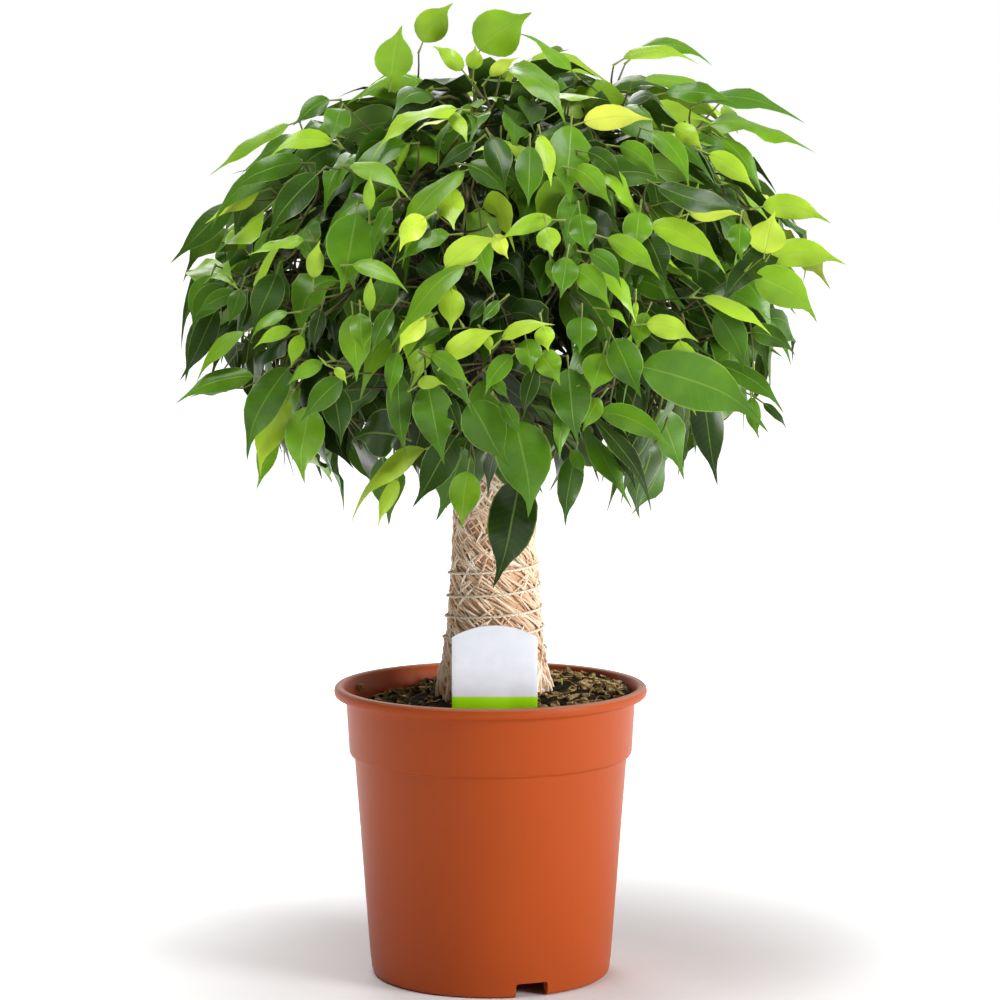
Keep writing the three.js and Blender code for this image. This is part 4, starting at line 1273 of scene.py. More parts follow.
leaf_material, tree, surface = new_material("waxy_fig_leaf")
blade_place = add_node(tree, "ShaderNodeUVMap", uv_map="blade").outputs[0]
axes = add_node(tree, "ShaderNodeSeparateXYZ", {0: blade_place}).outputs
off_middle = scaled(tree, worked(tree, "ABSOLUTE", worked(tree, "SUBTRACT", axes[0], 0.5)), 2.0)
# the tone carries how young a leaf is, and for drawn leaves also painted shade deep in the crown
youth, under = carried(tree, "tone"), carried(tree, "under")
mottle = cloudy(tree, piece_place(tree), 90.0, 3.0)
shade = worked(tree, "ADD", youth, varied(tree, mottle, 0.5, 0.16))
veins = worked(tree, "ADD", scaled(tree, axes[1], VEIN_PAIRS), scaled(tree, off_middle, VEIN_SLANT))
vein_line = between(tree, worked(tree, "PINGPONG", veins, 0.5), VEIN_EDGE, 0.0)
midrib = between(tree, off_middle, MIDRIB_EDGE, MIDRIB_FULL)
margin = between(tree, off_middle, MARGIN_EDGE, 1.0)
colour = ramped(tree, shade, LEAF_STOPS)
for part, weight, hex_colour in (
    (under, 0.35, "#6c8a3c"), (vein_line, 0.04, "#9ab65a"),
    (midrib, 0.22, "#a3bf58"), (margin, 0.4, "#b2cb68"),
):
    colour = mixed(tree, scaled(tree, part, weight), colour, linear(hex_colour))
tree.links.new(colour, surface.inputs["Base Color"])
tree.links.new(worked(tree, "ADD", scaled(tree, under, 0.25), 0.33), surface.inputs["Roughness"])
relief = worked(tree, "ADD", scaled(tree, midrib, 0.8), scaled(tree, vein_line, 0.2))
roughen(tree, surface, 0.35, 0.0004, worked(tree, "ADD", relief, scaled(tree, mottle, 0.5)))
surface.inputs["Specular IOR Level"].default_value = 0.25
surface.inputs["Coat Weight"].default_value = 0.1
surface.inputs["Coat Roughness"].default_value = 0.22
print("leaf finish:", leaf_material.name)

# %% Twig material
TWIG_STOPS = [(0.1, "#2c2218"), (0.45, "#4c3b27"), (0.7, "#5c642b"), (1.0, "#84983c")]

twig_material, tree, surface = new_material("young_fig_bark")
youth = carried(tree, "tone")
grain = cloudy(tree, piece_place(tree), 600.0, 4.0)
colour = ramped(tree, worked(tree, "ADD", youth, scaled(tree, grain, 0.25)), TWIG_STOPS)
tree.links.new(colour, surface.inputs["Base Color"])
roughen(tree, surface, 0.4, 0.0003, grain)
surface.inputs["Roughness"].default_value = 0.65
print("twig finish:", twig_material.name)

# %% [markdown]
# ## Dressed sprays
# Each spray becomes one piece: its twigs as thin round wood that greens towards the tips, its finer
# shoots, a stalk and a blade for each leaf, and a pointed bud at the end of some shoots. It replaces
# the solid spray.

# %% Sprays
TWIG_ROUNDNESS = 0.75
TWIG_TIP, SIDE_TWIG_TIP = 0.8, 0.7
THIN_SHOOT, THIN_SHOOT_TIP = 0.75, 0.45
TWIG_AGES, SIDE_TWIG_AGES, SHOOT_AGES = (0.1, 0.55), (0.25, 0.6), (0.2, 0.6)
BUD_LENGTH = 9
BUD_SHARE = 0.12
BUD_LIFT = 0.6
BUD_PLACES = [0, 0.25, 0.6, 1]
BUD_RADII = [0.6, 0.85, 0.5, 0.08]
BUD_YOUTH = 0.9
PLAIN_YOUTH = (0.14, 0.38)
END_YOUTH = 0.22
BRIGHT_YOUTH = (0.6, 0.3)
BRIGHT_SHARE = 0.22
# how far into the crown the painted shade reaches, and how dark it gets
DARK_HEIGHT = 130
DARK_DEPTH, FULL_DEPTH = 0.5, 0.95
DARKEST_SHARE = 0.1
SPRAY_SEED = 50000


def twig_tube(arch, from_radius, to_radius, sides, steps, ages):
    """A round twig along an arch, with its youth at both ends."""
    shares = np.linspace(0, 1, steps + 1)
    radii = [from_radius + (to_radius - from_radius) * t for t in shares]
    shape = tube([arch.point(t) for t in shares], radii, sides)
    shape["tone"] = np.repeat(ages[0] + (ages[1] - ages[0]) * shares, sides)
    shape["slot"] = 1
    return shape


def drawn_youth_and_shade(leaf, draw):
    """How young a leaf is, young at the ends of shoots, and darker inside and below: partly as older leaves
    are, partly painted shade.
    """
    youth = drawn(draw, PLAIN_YOUTH) + (END_YOUTH * draw() if leaf["young"] else 0)
    if draw() < BRIGHT_SHARE:
        youth = drawn(draw, BRIGHT_YOUTH)
    # painted shade: leaves deep in the crown are darkened, partly for their age and partly for the shade
    # that falls there
    offset = leaf["root"] - CROWN_CENTRE
    reach = np.linalg.norm(offset / np.array([CROWN_RADIUS, CROWN_RADIUS, DARK_HEIGHT]))
    share = min(1, max(0, (reach - DARK_DEPTH) / (FULL_DEPTH - DARK_DEPTH)))
    return youth * (DARKEST_SHARE + (1 - DARKEST_SHARE) * share)


def bud(arch):
    """A pointed bud in its sheath at the end of a shoot."""
    heading = unit(arch.tangent(1) + np.array([0, 0, BUD_LIFT]))
    centres = [arch.end + heading * BUD_LENGTH * (share - 0.05) for share in BUD_PLACES]
    shape = tube(centres, BUD_RADII, 5, BUD_YOUTH)
    shape["slot"] = 1
    return shape


spray_pieces = []
for k, branch in enumerate(branches):
    draw = draw_from(SPRAY_SEED + k)
    middle = branch["twigs"][0]
    shapes = [twig_tube(middle, TWIG_ROUNDNESS * TWIG_RADIUS, TWIG_TIP, 8, 8, TWIG_AGES)]
    for twig in branch["twigs"][1:]:
        radius = TWIG_ROUNDNESS * SIDE_TWIG_RADIUS
        shapes.append(twig_tube(twig, radius, SIDE_TWIG_TIP, 7, 7, SIDE_TWIG_AGES))
    for shoot in branch["shoots"]:
        shapes.append(twig_tube(shoot, THIN_SHOOT, THIN_SHOOT_TIP, 5, 6, SHOOT_AGES))
        if draw() < BUD_SHARE:
            shapes.append(bud(shoot))
    for leaf in branch["leaves"]:
        leaf_tone = leaf.get("youth") or drawn_youth_and_shade(leaf, draw)
        shapes.append(lay_leaf(leaf, leaf_tone, draw))
        shapes.append(lay_stalk(leaf, leaf_tone))
    node = f"spray_{k + 1:02d}"
    piece = gather(f"leafy_{node}", shapes, [leaf_material, twig_material])
    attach(piece, "root")
    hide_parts(node)
    spray_pieces.append(piece)
face_count = sum(len(piece.data.polygons) for piece in spray_pieces)
print("sprays:", len(spray_pieces), "with", face_count, "faces")

# %% [markdown]
# ## Trunk and limbs
# Under the wrap stands a stem with the shallow ribs of several stems grown together. Above the wrap it
# thins and forks into limbs as thick as a pencil. The leaves hide most of it, so it is lofted ring by
# ring from the same sizes as the solid, with small swellings that keep it from looking turned.

# %% Trunk
ROOT_Z = 90
WRAP_WALL = 3.6
FIT_GAP = 0.4
LOBES = 5
LOBE_DEPTH = 0.1
STEM_SLACK = 0.02
SWELLINGS = [(0.025, 3, 0.11), (0.02, 7, -0.23)]
TAPER_ABOVE = 0.45
TAPER_BELOW = 0.4
STEM_SIDES = 40
STEM_STEP = 4


def stem_radius(z):
    """Mean radius of the trunk at a height."""
    in_wrap = (wrap_radius(z) - WRAP_WALL - FIT_GAP) / (1 + LOBE_DEPTH)
    above = max(0, z - WRAP_TOP_Z) / (TRUNK_TOP_Z - WRAP_TOP_Z)
    below = max(0, WRAP_FOOT_Z - z) / (WRAP_FOOT_Z - ROOT_Z)
    return in_wrap * (1 - TAPER_ABOVE * above) * (1 - TAPER_BELOW * below)


angles = np.arange(STEM_SIDES) * 2 * math.pi / STEM_SIDES
levels = np.arange(ROOT_Z, TRUNK_TOP_Z + 1, STEM_STEP)
stem_radii = []
for z in levels:
    swelling = sum(depth * np.sin(count * angles + turn * z) for depth, count, turn in SWELLINGS)
    ribs = LOBE_DEPTH * np.cos(LOBES * angles)
    stem_radii.append(stem_radius(z) * (1 - STEM_SLACK + ribs + swelling * (z > WRAP_TOP_Z)))
stem = tube([(TRUNK_X, 0, z) for z in levels], stem_radii, STEM_SIDES)
limb_shares = np.linspace(0, 1, 9)
limbs = []
for branch in branches:
    radii = [LIMB_RADIUS + (LIMB_TIP_RADIUS - LIMB_RADIUS) * t for t in limb_shares]
    limbs.append(tube([branch["limb"].point(t) for t in limb_shares], radii, 8, 0.3))

bark_material, tree, surface = new_material("smooth_fig_bark")
stretching = {"Vector": piece_place(tree), "Scale": (1, 1, 3)}
stretched = add_node(tree, "ShaderNodeMapping", stretching).outputs[0]
pores = add_node(tree, "ShaderNodeTexVoronoi", {"Vector": stretched, "Scale": 260.0}).outputs["Distance"]
grain = cloudy(tree, stretched, 120.0, 6.0)
bark = ramped(tree, grain, [(0.3, "#382d20"), (0.55, "#5a4d3a"), (0.75, "#7a6d55")])
colour = mixed(tree, between(tree, pores, 0.25, 0.1), bark, linear("#8d8066"))
tree.links.new(colour, surface.inputs["Base Color"])
roughen(tree, surface, 0.5, 0.0006, grain)
surface.inputs["Roughness"].default_value = 0.75

trunk_piece = gather("ribbed_trunk", [stem] + limbs, [bark_material])
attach(trunk_piece, "root")
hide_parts("trunk")
print("trunk:", len(trunk_piece.data.polygons), "faces")

# %% [markdown]
# ## Pot
# The pot is injection-moulded polypropylene, drawn from one round mould: a rolled rim, a collar that is
# wider than the body so that pots nest, and a raised floor. It is turned here from a half profile: a
# disc is extruded and resized from point to point, outside first and then down the inside.

# %% Turning a profile
def turned_piece(name, profile, sides):
    """A closed solid of revolution: a disc extruded from point to point of its profile, in mm."""
    start_fresh()
    radius, z = profile[0]
    bpy.ops.mesh.primitive_circle_add(
        vertices=sides, radius=radius * MM, fill_type="NGON", location=(0, 0, z * MM),
    )
    piece = bpy.context.object
    piece.name = name
    bpy.ops.object.transform_apply(location=True, rotation=True, scale=True)
    bpy.ops.object.mode_set(mode="EDIT")
    bpy.ops.mesh.select_all(action="SELECT")
    for next_radius, next_z in profile[1:]:
        bpy.ops.mesh.extrude_region_move(TRANSFORM_OT_translate={"value": (0, 0, (next_z - z) * MM)})
        share = next_radius / radius
        bpy.ops.transform.resize(value=(share, share, 1), center_override=(0, 0, next_z * MM))
        radius, z = next_radius, next_z
    bpy.ops.mesh.select_all(action="SELECT")
    bpy.ops.mesh.normals_make_consistent(inside=False)
    bpy.ops.object.mode_set(mode="OBJECT")
    return piece


def finished(piece, kind, **settings):
    """Adds a modifier to a piece, sets it and applies it."""
    start_fresh()
    piece.select_set(True)
    bpy.context.view_layer.objects.active = piece
    modifier = piece.modifiers.new(kind.lower(), kind)
    for setting, value in settings.items():
        setattr(modifier, setting, value)
    bpy.ops.object.modifier_apply(modifier=modifier.name)


print("ready to turn the pot and its soil")

# %% Pot body
POT_SIDES = 144
POT_HEIGHT = 158.5
POT_PROFILE = [
    (24, 0), (26, 8), (58, 8), (60, 0), (62.6, 0), (64.4, 1.2), (65.1, 3.6), (65.45, 8.2), (65.75, 8.8),
    (74, 118.4), (74.7, 120.2), (76.2, 120.9), (76.9, 122.6), (78.5, 150.6), (79.2, 152), (83.4, 152.4),
    (84.6, 153.3), (85, 155.2), (84.7, 157.2), (83.7, 158.3), (82.4, 158.5), (80.7, 158.2), (79.7, 157),
    (78.9, 154.6), (77.2, 150.6), (76.7, 148), (74.9, 123), (74.3, 120.6), (72.6, 118.6), (72, 116.6),
    (63.9, 12.2), (62.4, 10.4),
]
FLOOR_UNDERSIDE_Z = 8
NOTCH_WIDTH = 18
NOTCH_FIRST_DEG = -70
NOTCHES = 3
NOTCH_CORNER = 1.6
NOTCH_RADIUS, NOTCH_DEPTH = 62, 14
DRAIN_HOLES = 6
DRAIN_RADIUS = 4.5
DRAIN_RING_RADIUS = 42

pot_piece = turned_piece("nursery_pot", POT_PROFILE, POT_SIDES)
finished(
    pot_piece, "BEVEL", width=0.35 * MM, segments=2, limit_method="ANGLE", angle_limit=math.radians(24),
)

cutters = []
for k in range(NOTCHES):
    polar = math.radians(NOTCH_FIRST_DEG) + k * 2 * math.pi / NOTCHES
    start_fresh()
    bpy.ops.mesh.primitive_cube_add(size=1, location=(NOTCH_RADIUS * MM, 0, 0))
    bpy.ops.transform.resize(value=(NOTCH_DEPTH * MM, NOTCH_WIDTH * MM, 2 * (FLOOR_UNDERSIDE_Z - 0.1) * MM))
    bpy.ops.object.transform_apply(location=True, rotation=True, scale=True)
    notch = bpy.context.object
    bpy.ops.object.mode_set(mode="EDIT")
    work = bmesh.from_edit_mesh(notch.data)
    for edge in work.edges:
        ends = [vertex.co for vertex in edge.verts]
        edge.select_set(all(co.z > 0 for co in ends) and abs(ends[0].y - ends[1].y) < MM)
    bpy.ops.mesh.bevel(offset=NOTCH_CORNER * MM, segments=4)
    bpy.ops.object.mode_set(mode="OBJECT")
    notch.rotation_euler = (0, 0, polar)
    bpy.ops.object.transform_apply(location=True, rotation=True, scale=True)
    cutters.append(notch)
for k in range(DRAIN_HOLES):
    polar = k * 2 * math.pi / DRAIN_HOLES
    x, y = DRAIN_RING_RADIUS * math.cos(polar), DRAIN_RING_RADIUS * math.sin(polar)
    start_fresh()
    bpy.ops.mesh.primitive_cylinder_add(
        vertices=24, radius=DRAIN_RADIUS * MM, depth=8 * MM, location=(x * MM, y * MM, 9 * MM),
    )
    bpy.ops.object.transform_apply(location=True, rotation=True, scale=True)
    cutters.append(bpy.context.object)
start_fresh()
for cutter in cutters:
    cutter.select_set(True)
bpy.context.view_layer.objects.active = cutters[0]
bpy.ops.object.join()
finished(pot_piece, "BOOLEAN", object=cutters[0], operation="DIFFERENCE", solver="EXACT")
bpy.data.objects.remove(cutters[0])
smooth(pot_piece, 32)
print("pot:", len(pot_piece.data.polygons), "faces with", NOTCHES, "notches and", DRAIN_HOLES, "holes")

# %% [markdown]
# ## Moulded polypropylene
# The plastic is terracotta-coloured right through and satin, from the fine texture of its mould. The
# eye reads broad soft reflections that pale at grazing angles, a faint mottling where the melt flowed
# and a little potting dust towards the foot. The top of the rim is mixed paler as a painted highlight,
# standing in for the shine it catches.

# %% Pot material
DUST_TOP = 0.03
LIP_HIGHLIGHT_FROM, LIP_HIGHLIGHT_FULL = 1.6, 0.2

pot_material, tree, surface = new_material("moulded_polypropylene")
object_place = piece_place(tree)
flow = add_node(tree, "ShaderNodeMapping", {"Vector": object_place, "Scale": (1, 1, 0.35)}).outputs[0]
cloud = cloudy(tree, flow, 22.0, 4.0)
height = add_node(tree, "ShaderNodeSeparateXYZ", {0: object_place}).outputs[2]
speck = cloudy(tree, object_place, 420.0, 5.0)
dust = worked(tree, "MULTIPLY", between(tree, height, DUST_TOP, 0.0), between(tree, speck, 0.5, 0.75))
# painted highlight: the top of the rim is mixed towards a pale colour, for the shine that it catches
painted_lip_highlight = between(tree, height, (POT_HEIGHT - LIP_HIGHLIGHT_FROM) * MM, (POT_HEIGHT - LIP_HIGHLIGHT_FULL) * MM)
colour = ramped(tree, cloud, [(0.3, "#a34212"), (0.7, "#ab4814")])
colour = mixed(tree, scaled(tree, dust, 0.35), colour, linear("#7c4a30"))
colour = mixed(tree, scaled(tree, painted_lip_highlight, 0.4), colour, linear("#d9b39c"))
tree.links.new(colour, surface.inputs["Base Color"])
tree.links.new(worked(tree, "ADD", scaled(tree, cloud, 0.12), 0.38), surface.inputs["Roughness"])
roughen(tree, surface, 0.12, 0.0002, cloudy(tree, object_place, 900.0, 2.0))
surface.inputs["IOR"].default_value = 1.49
surface.inputs["Specular IOR Level"].default_value = 0.18
pot_piece.data.materials.clear()
pot_piece.data.materials.append(pot_material)
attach(pot_piece, "root")
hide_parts("pot")
print("pot finish:", pot_material.name)

# %% [markdown]
# ## Potting mix
# The mix is bark chips, coir fibre and dark peat. It stands higher at the back and the right, where the
# tree was firmed in, and it crumbles: a disc is inset into rings whose points are raised by noise, and
# chips of one pattern and single fibres are strewn over it.

# %% Soil surface
SOIL_SIDES = 144
SOIL_RINGS = 30
SOIL_EDGE_Z = POT_HEIGHT - 12
SOIL_RISE = 2.5
SOIL_MOUND = 10
SOIL_LEAN = 7
SOIL_LEAN_TO = (0.9, 0.45)
SOIL_ROLL, ROLL_SCALE = 1.6, 0.05
SOIL_CRUMB, CRUMB_SCALE = 1.5, 0.22
SOIL_EDGE_RADIUS = 76.1
SOIL_PROFILE = [(62.8, 10.8), (71.4, 115.5), (73.6, 122), (SOIL_EDGE_RADIUS, SOIL_EDGE_Z)]


def soil_height(x, y):
    """Height of the potting mix, in mm."""
    share = min(1, math.hypot(x, y) / SOIL_EDGE_RADIUS)
    lean = SOIL_LEAN * (SOIL_LEAN_TO[0] * x + SOIL_LEAN_TO[1] * y) / SOIL_EDGE_RADIUS
    broad = SOIL_ROLL * noise.noise(Vector((x, y, 3.0)) * ROLL_SCALE)
    crumb = SOIL_CRUMB * noise.turbulence(Vector((x, y, 7.0)) * CRUMB_SCALE, 4, False)
    return SOIL_EDGE_Z + SOIL_RISE + SOIL_MOUND * (1 - share) + lean + broad + crumb


soil_piece = turned_piece("potting_mix", SOIL_PROFILE, SOIL_SIDES)
bpy.ops.object.mode_set(mode="EDIT")
bpy.ops.mesh.select_all(action="DESELECT")
work = bmesh.from_edit_mesh(soil_piece.data)
for face in work.faces:
    if len(face.verts) == SOIL_SIDES and face.calc_center_median().z > 0.1:
        face.select_set(True)
work.select_flush_mode()
for _ in range(SOIL_RINGS):
    bpy.ops.mesh.inset(thickness=SOIL_EDGE_RADIUS / (SOIL_RINGS + 1) * MM)
bpy.ops.object.mode_set(mode="OBJECT")
for vertex in soil_piece.data.vertices:
    if vertex.co.z > (SOIL_EDGE_Z - 1) * MM:
        vertex.co.z = soil_height(vertex.co.x / MM, vertex.co.y / MM) * MM
smooth(soil_piece, 40)
print("soil:", len(soil_piece.data.polygons), "faces")

# %% Chips and fibres
CHIPS = 560
CHIP_LENGTH, CHIP_LENGTH_RARITY = (2.5, 6), 2
CHIP_WIDTH = (1.6, 2.6)
CHIP_DEPTH = (0.7, 1.3)
CHIP_WEDGE = 0.45
CHIP_STANDS = 0.3
CHIP_PALENESS = 0.65
COIR_FIBRES = 150
FIBRE_LENGTH = (5, 12)
FIBRE_CURL = 1.6
FIBRE_RISE = 1.4
FIBRE_RADIUS = 0.28
PAINTED_LIGHT_TO_RIGHT = 0.3
WRAP_CLEAR_RADIUS = 28
# two chips set singly: a tall dark one beside the yellow leaf that is painted shade, standing for a shaded
# hole in the mix, and a pale one
PAINTED_HOLE_CHIP_AND_PALE_CHIP = [((4.4, 2, 12), (33.5, 5, 153), -0.5), ((2.6, 2, 3.4), (-71.5, 27, 152.5), 0.9)]
YELLOW_LEAF = [(39.5, 4, 147), (39, 3, 154), (38.6, 4, 161)]
YELLOW_CRUMB = ((3, 2, 2), (32, -12, 150.5), 0.95)

start_fresh()
bpy.ops.mesh.primitive_cube_add(size=1)
chip_pattern = bpy.context.object
bpy.ops.object.mode_set(mode="EDIT")
bpy.ops.mesh.select_all(action="SELECT")
bpy.ops.mesh.bevel(offset=0.18, segments=1, affect="VERTICES")
bpy.ops.object.mode_set(mode="OBJECT")
chip_points = np.array([vertex.co for vertex in chip_pattern.data.vertices])
chip_faces = [tuple(face.vertices) for face in chip_pattern.data.polygons]
bpy.data.objects.remove(chip_pattern)


def strewn_place(draw):
    """A point of the soil's surface between the wrap and the pot."""
    polar = 2 * math.pi * draw()
    radius = WRAP_CLEAR_RADIUS + (SOIL_EDGE_RADIUS - 3 - WRAP_CLEAR_RADIUS) * math.sqrt(draw())
    x, y = radius * math.cos(polar), radius * math.sin(polar)
    return np.array([x, y, soil_height(x, y)])


draw = draw_from(7001)
bits = []
for _ in range(CHIPS):
    length = drawn(draw, CHIP_LENGTH, CHIP_LENGTH_RARITY)
    size = np.array([length, drawn(draw, CHIP_WIDTH), drawn(draw, CHIP_DEPTH)])
    heading = unit(np.array([draw() - 0.5, draw() - 0.5, 0.5 * (draw() - 0.5)]))
    side = unit(np.cross(heading, np.array([0.6 * (draw() - 0.5), 0.6 * (draw() - 0.5), 1])))
    directions = np.stack([heading, side, np.cross(heading, side)])
    wedge = 1 - CHIP_WEDGE * draw() * (chip_points[:, 0] + 0.5)
    points = chip_points * size * np.stack([np.ones_like(wedge), wedge, wedge], axis=1)
    place = strewn_place(draw) + np.array([0, 0, CHIP_STANDS * size[2]])
    # painted light: chips are made paler towards the right, where the light falls on the mix, and darker
    # towards the shaded left
    tone = draw() ** CHIP_PALENESS + PAINTED_LIGHT_TO_RIGHT * place[0] / SOIL_EDGE_RADIUS
    bits.append({"points": points @ directions + place, "faces": chip_faces, "tone": tone})
for _ in range(COIR_FIBRES):
    place = strewn_place(draw)
    turn = 2 * math.pi * draw()
    length = drawn(draw, FIBRE_LENGTH)
    curl = FIBRE_CURL * (draw() - 0.5)
    centres = []
    for step in range(6):
        heading = turn + curl * step / 3
        if step:
            place = place + np.array([math.cos(heading), math.sin(heading), 0]) * length / 5
        reach = min(1, (SOIL_EDGE_RADIUS - 1.5) / math.hypot(place[0], place[1]))
        x, y = place[0] * reach, place[1] * reach
        centres.append((x, y, soil_height(x, y) + 0.6 + FIBRE_RISE * math.sin(math.pi * step / 5) * draw()))
    bits.append(tube(centres, [FIBRE_RADIUS] * 6, 3, drawn(draw, (0.5, 0.5))))
# the first of these chips is painted shade: a dark chip where the mix has only a shaded hole
for size, place, tone in PAINTED_HOLE_CHIP_AND_PALE_CHIP:
    bits.append({"points": chip_points * size + place, "faces": chip_faces, "tone": tone})
yellow_leaf = tube(YELLOW_LEAF, [np.array([0.5, 2.7, 0.5, 2.7])] * 3, 4, 0.86)
size, place, tone = YELLOW_CRUMB
yellow_crumb = {"points": chip_points * size + place, "faces": chip_faces, "tone": tone}
for shape in (yellow_leaf, yellow_crumb):
    bits.append({**shape, "slot": 1})
print("soil bits:", len(bits))

# %% Soil material
SOIL_STOPS = [(0.0, "#0b0804"), (0.25, "#271c0c"), (0.5, "#5c4724"), (0.75, "#9a7f4c"), (1.0, "#c8af7e")]

soil_material, tree, surface = new_material("bark_and_peat_mix")
object_place = piece_place(tree)
crumb_cells = add_node(tree, "ShaderNodeTexVoronoi", {"Vector": object_place, "Scale": 420.0})
grain = cloudy(tree, object_place, 700.0, 5.0)
patches = cloudy(tree, object_place, 60.0, 2.0)
value = worked(tree, "ADD", scaled(tree, carried(tree, "tone"), 0.75), varied(tree, grain, 0.35, 0.6))
value = worked(tree, "ADD", value, varied(tree, patches, 0.3, 0.5))
tree.links.new(ramped(tree, value, SOIL_STOPS), surface.inputs["Base Color"])
roughen(tree, surface, 0.8, 0.0015, worked(tree, "ADD", crumb_cells.outputs["Distance"], grain))
surface.inputs["Roughness"].default_value = 0.92
surface.inputs["Specular IOR Level"].default_value = 0.15
soil_piece.data.materials.clear()
soil_piece.data.materials.append(soil_material)
bits_piece = gather("bark_chips_and_coir", bits, [soil_material, leaf_material])
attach(soil_piece, "root")
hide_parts("soil")
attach(bits_piece, "root")
print("soil finish:", soil_material.name)

# %% [markdown]
# ## Fibre wrap
# The sleeve is plaited from sisal: bundles of pale fibre that cross, bulge over one another and fray at
# the foot. A thin sleeve is spun first, then bundles are laid on it, each diving under its neighbours
# at both ends.

# %% Sleeve and bundles
SLEEVE_SIDES = 48
SLEEVE_STEP = 8
SLEEVE_INSET = 0.9
BUNDLES = 1250
CROSS_BUNDLES = 300
FOOT_BUNDLES = 90
STRAY_HAIRS = 110
HAIR_RADII = [0.22, 0.2, 0.17, 0.12]
DOWN_SLANT_DEG, SLANT_VARIETY_DEG = 36, 26
LOOSE_FROM_Z, LOOSE_SLANT_DEG = 228, 22
BUNDLE_STEPS = 6
LEAST_STRAND = 0.15
# half length, width and crest: each a least value, and up to so much more
DOWN_SIZES = [(7, 8), (0.8, 0.9), (0.1, 0.9)]
CROSS_SIZES = [(6, 8), (0.9, 0.9), (0.3, 0.9)]
FOOT_SIZES = [(7, 8), (1.3, 1.1), (0.4, 1.8)]


def on_wrap(angle, z, lift):
    """A point on the wrap, lifted from its mean surface."""
    radius = wrap_radius(z) + lift
    return np.array([TRUNK_X + radius * math.cos(angle), radius * math.sin(angle), z])


def bundle(angle, z, slant, half_length, width, crest, tone):
    """A tapered bundle of fibres laid on the wrap."""
    centres, radii = [], []
    for share in np.linspace(-1, 1, BUNDLE_STEPS + 1):
        reach = share * half_length
        level = min(WRAP_TOP_Z + 1, max(WRAP_FOOT_Z + 0.6, z - reach * math.sin(slant)))
        turn = angle + reach * math.cos(slant) / wrap_radius(level)
        centres.append(on_wrap(turn, level, crest * (1 - share**2) - SLEEVE_INSET * share**2))
        radii.append(max(LEAST_STRAND, 0.5 * width * (1 - 0.75 * share**2)))
    return tube(centres, radii, 5, tone)


sleeve_levels = np.arange(WRAP_FOOT_Z, WRAP_TOP_Z + 1, SLEEVE_STEP)
loop = [(wrap_radius(z) - SLEEVE_INSET, z) for z in sleeve_levels]
loop += [(wrap_radius(z) - WRAP_WALL, z) for z in sleeve_levels[::-1]]
sleeve_mesh = bpy.data.meshes.new("wrap_sleeve")
edges = [(i, (i + 1) % len(loop)) for i in range(len(loop))]
sleeve_mesh.from_pydata([((TRUNK_X + radius) * MM, 0, z * MM) for radius, z in loop], edges, [])
sleeve = bpy.data.objects.new("wrap_sleeve", sleeve_mesh)
bpy.context.collection.objects.link(sleeve)
start_fresh()
sleeve.select_set(True)
bpy.context.view_layer.objects.active = sleeve
bpy.ops.object.mode_set(mode="EDIT")
bpy.ops.mesh.select_all(action="SELECT")
bpy.ops.mesh.spin(steps=SLEEVE_SIDES, angle=2 * math.pi, center=(TRUNK_X * MM, 0, 0), axis=(0, 0, 1))
bpy.ops.mesh.select_all(action="SELECT")
bpy.ops.mesh.remove_doubles(threshold=0.00001)
bpy.ops.mesh.normals_make_consistent(inside=False)
bpy.ops.object.mode_set(mode="OBJECT")
smooth(sleeve, 40)

draw = draw_from(9001)
strands = []
for k in range(BUNDLES):
    z = WRAP_FOOT_Z + 4 + (WRAP_TOP_Z - WRAP_FOOT_Z - 4) * (k + draw()) / BUNDLES
    stray = SLANT_VARIETY_DEG * (draw() - 0.5)
    loose = LOOSE_SLANT_DEG * draw() if z > LOOSE_FROM_Z else 0
    slant = math.radians(DOWN_SLANT_DEG + stray + loose)
    angle = 2 * math.pi * draw()
    strands.append(bundle(angle, z, slant, *[drawn(draw, span) for span in DOWN_SIZES], draw()))
for _ in range(CROSS_BUNDLES):
    z = WRAP_FOOT_Z + 8 + (WRAP_TOP_Z - WRAP_FOOT_Z - 10) * draw() ** 0.6
    slant = -math.radians(25 + 50 * draw())
    angle = 2 * math.pi * draw()
    strands.append(bundle(angle, z, slant, *[drawn(draw, span) for span in CROSS_SIZES], draw()))
for _ in range(FOOT_BUNDLES):
    z = WRAP_FOOT_Z + 8 + 14 * draw()
    slant = math.radians(90 + 70 * (draw() - 0.5))
    tone = drawn(draw, (0.45, 0.55))
    angle = 2 * math.pi * draw()
    strands.append(bundle(angle, z, slant, *[drawn(draw, span) for span in FOOT_SIZES], tone))
for _ in range(STRAY_HAIRS):
    angle = 2 * math.pi * draw()
    z = WRAP_FOOT_Z + 6 + (WRAP_TOP_Z - WRAP_FOOT_Z - 8) * draw()
    sway, rise, out = 0.35 * (draw() - 0.5), 9 * (draw() - 0.5), drawn(draw, (1.2, 2.2))
    centres = [on_wrap(angle + sway * t, z + rise * t, 0.2 + out * t**1.5) for t in (0, 0.35, 0.7, 1)]
    strands.append(tube(centres, HAIR_RADII, 3, drawn(draw, (0.6, 0.4))))
print("wrap strands:", len(strands))

# %% [markdown]
# ## Sisal
# Sisal is a pale leaf fibre that dries straw-coloured. Each bundle catches the light along its crest,
# and the gaps between bundles go brown, because the light hardly reaches into them.

# %% Sisal material
SISAL_STOPS = [(0.1, "#bd9470"), (0.35, "#dab592"), (0.6, "#efd6b9"), (0.9, "#fff4e4")]

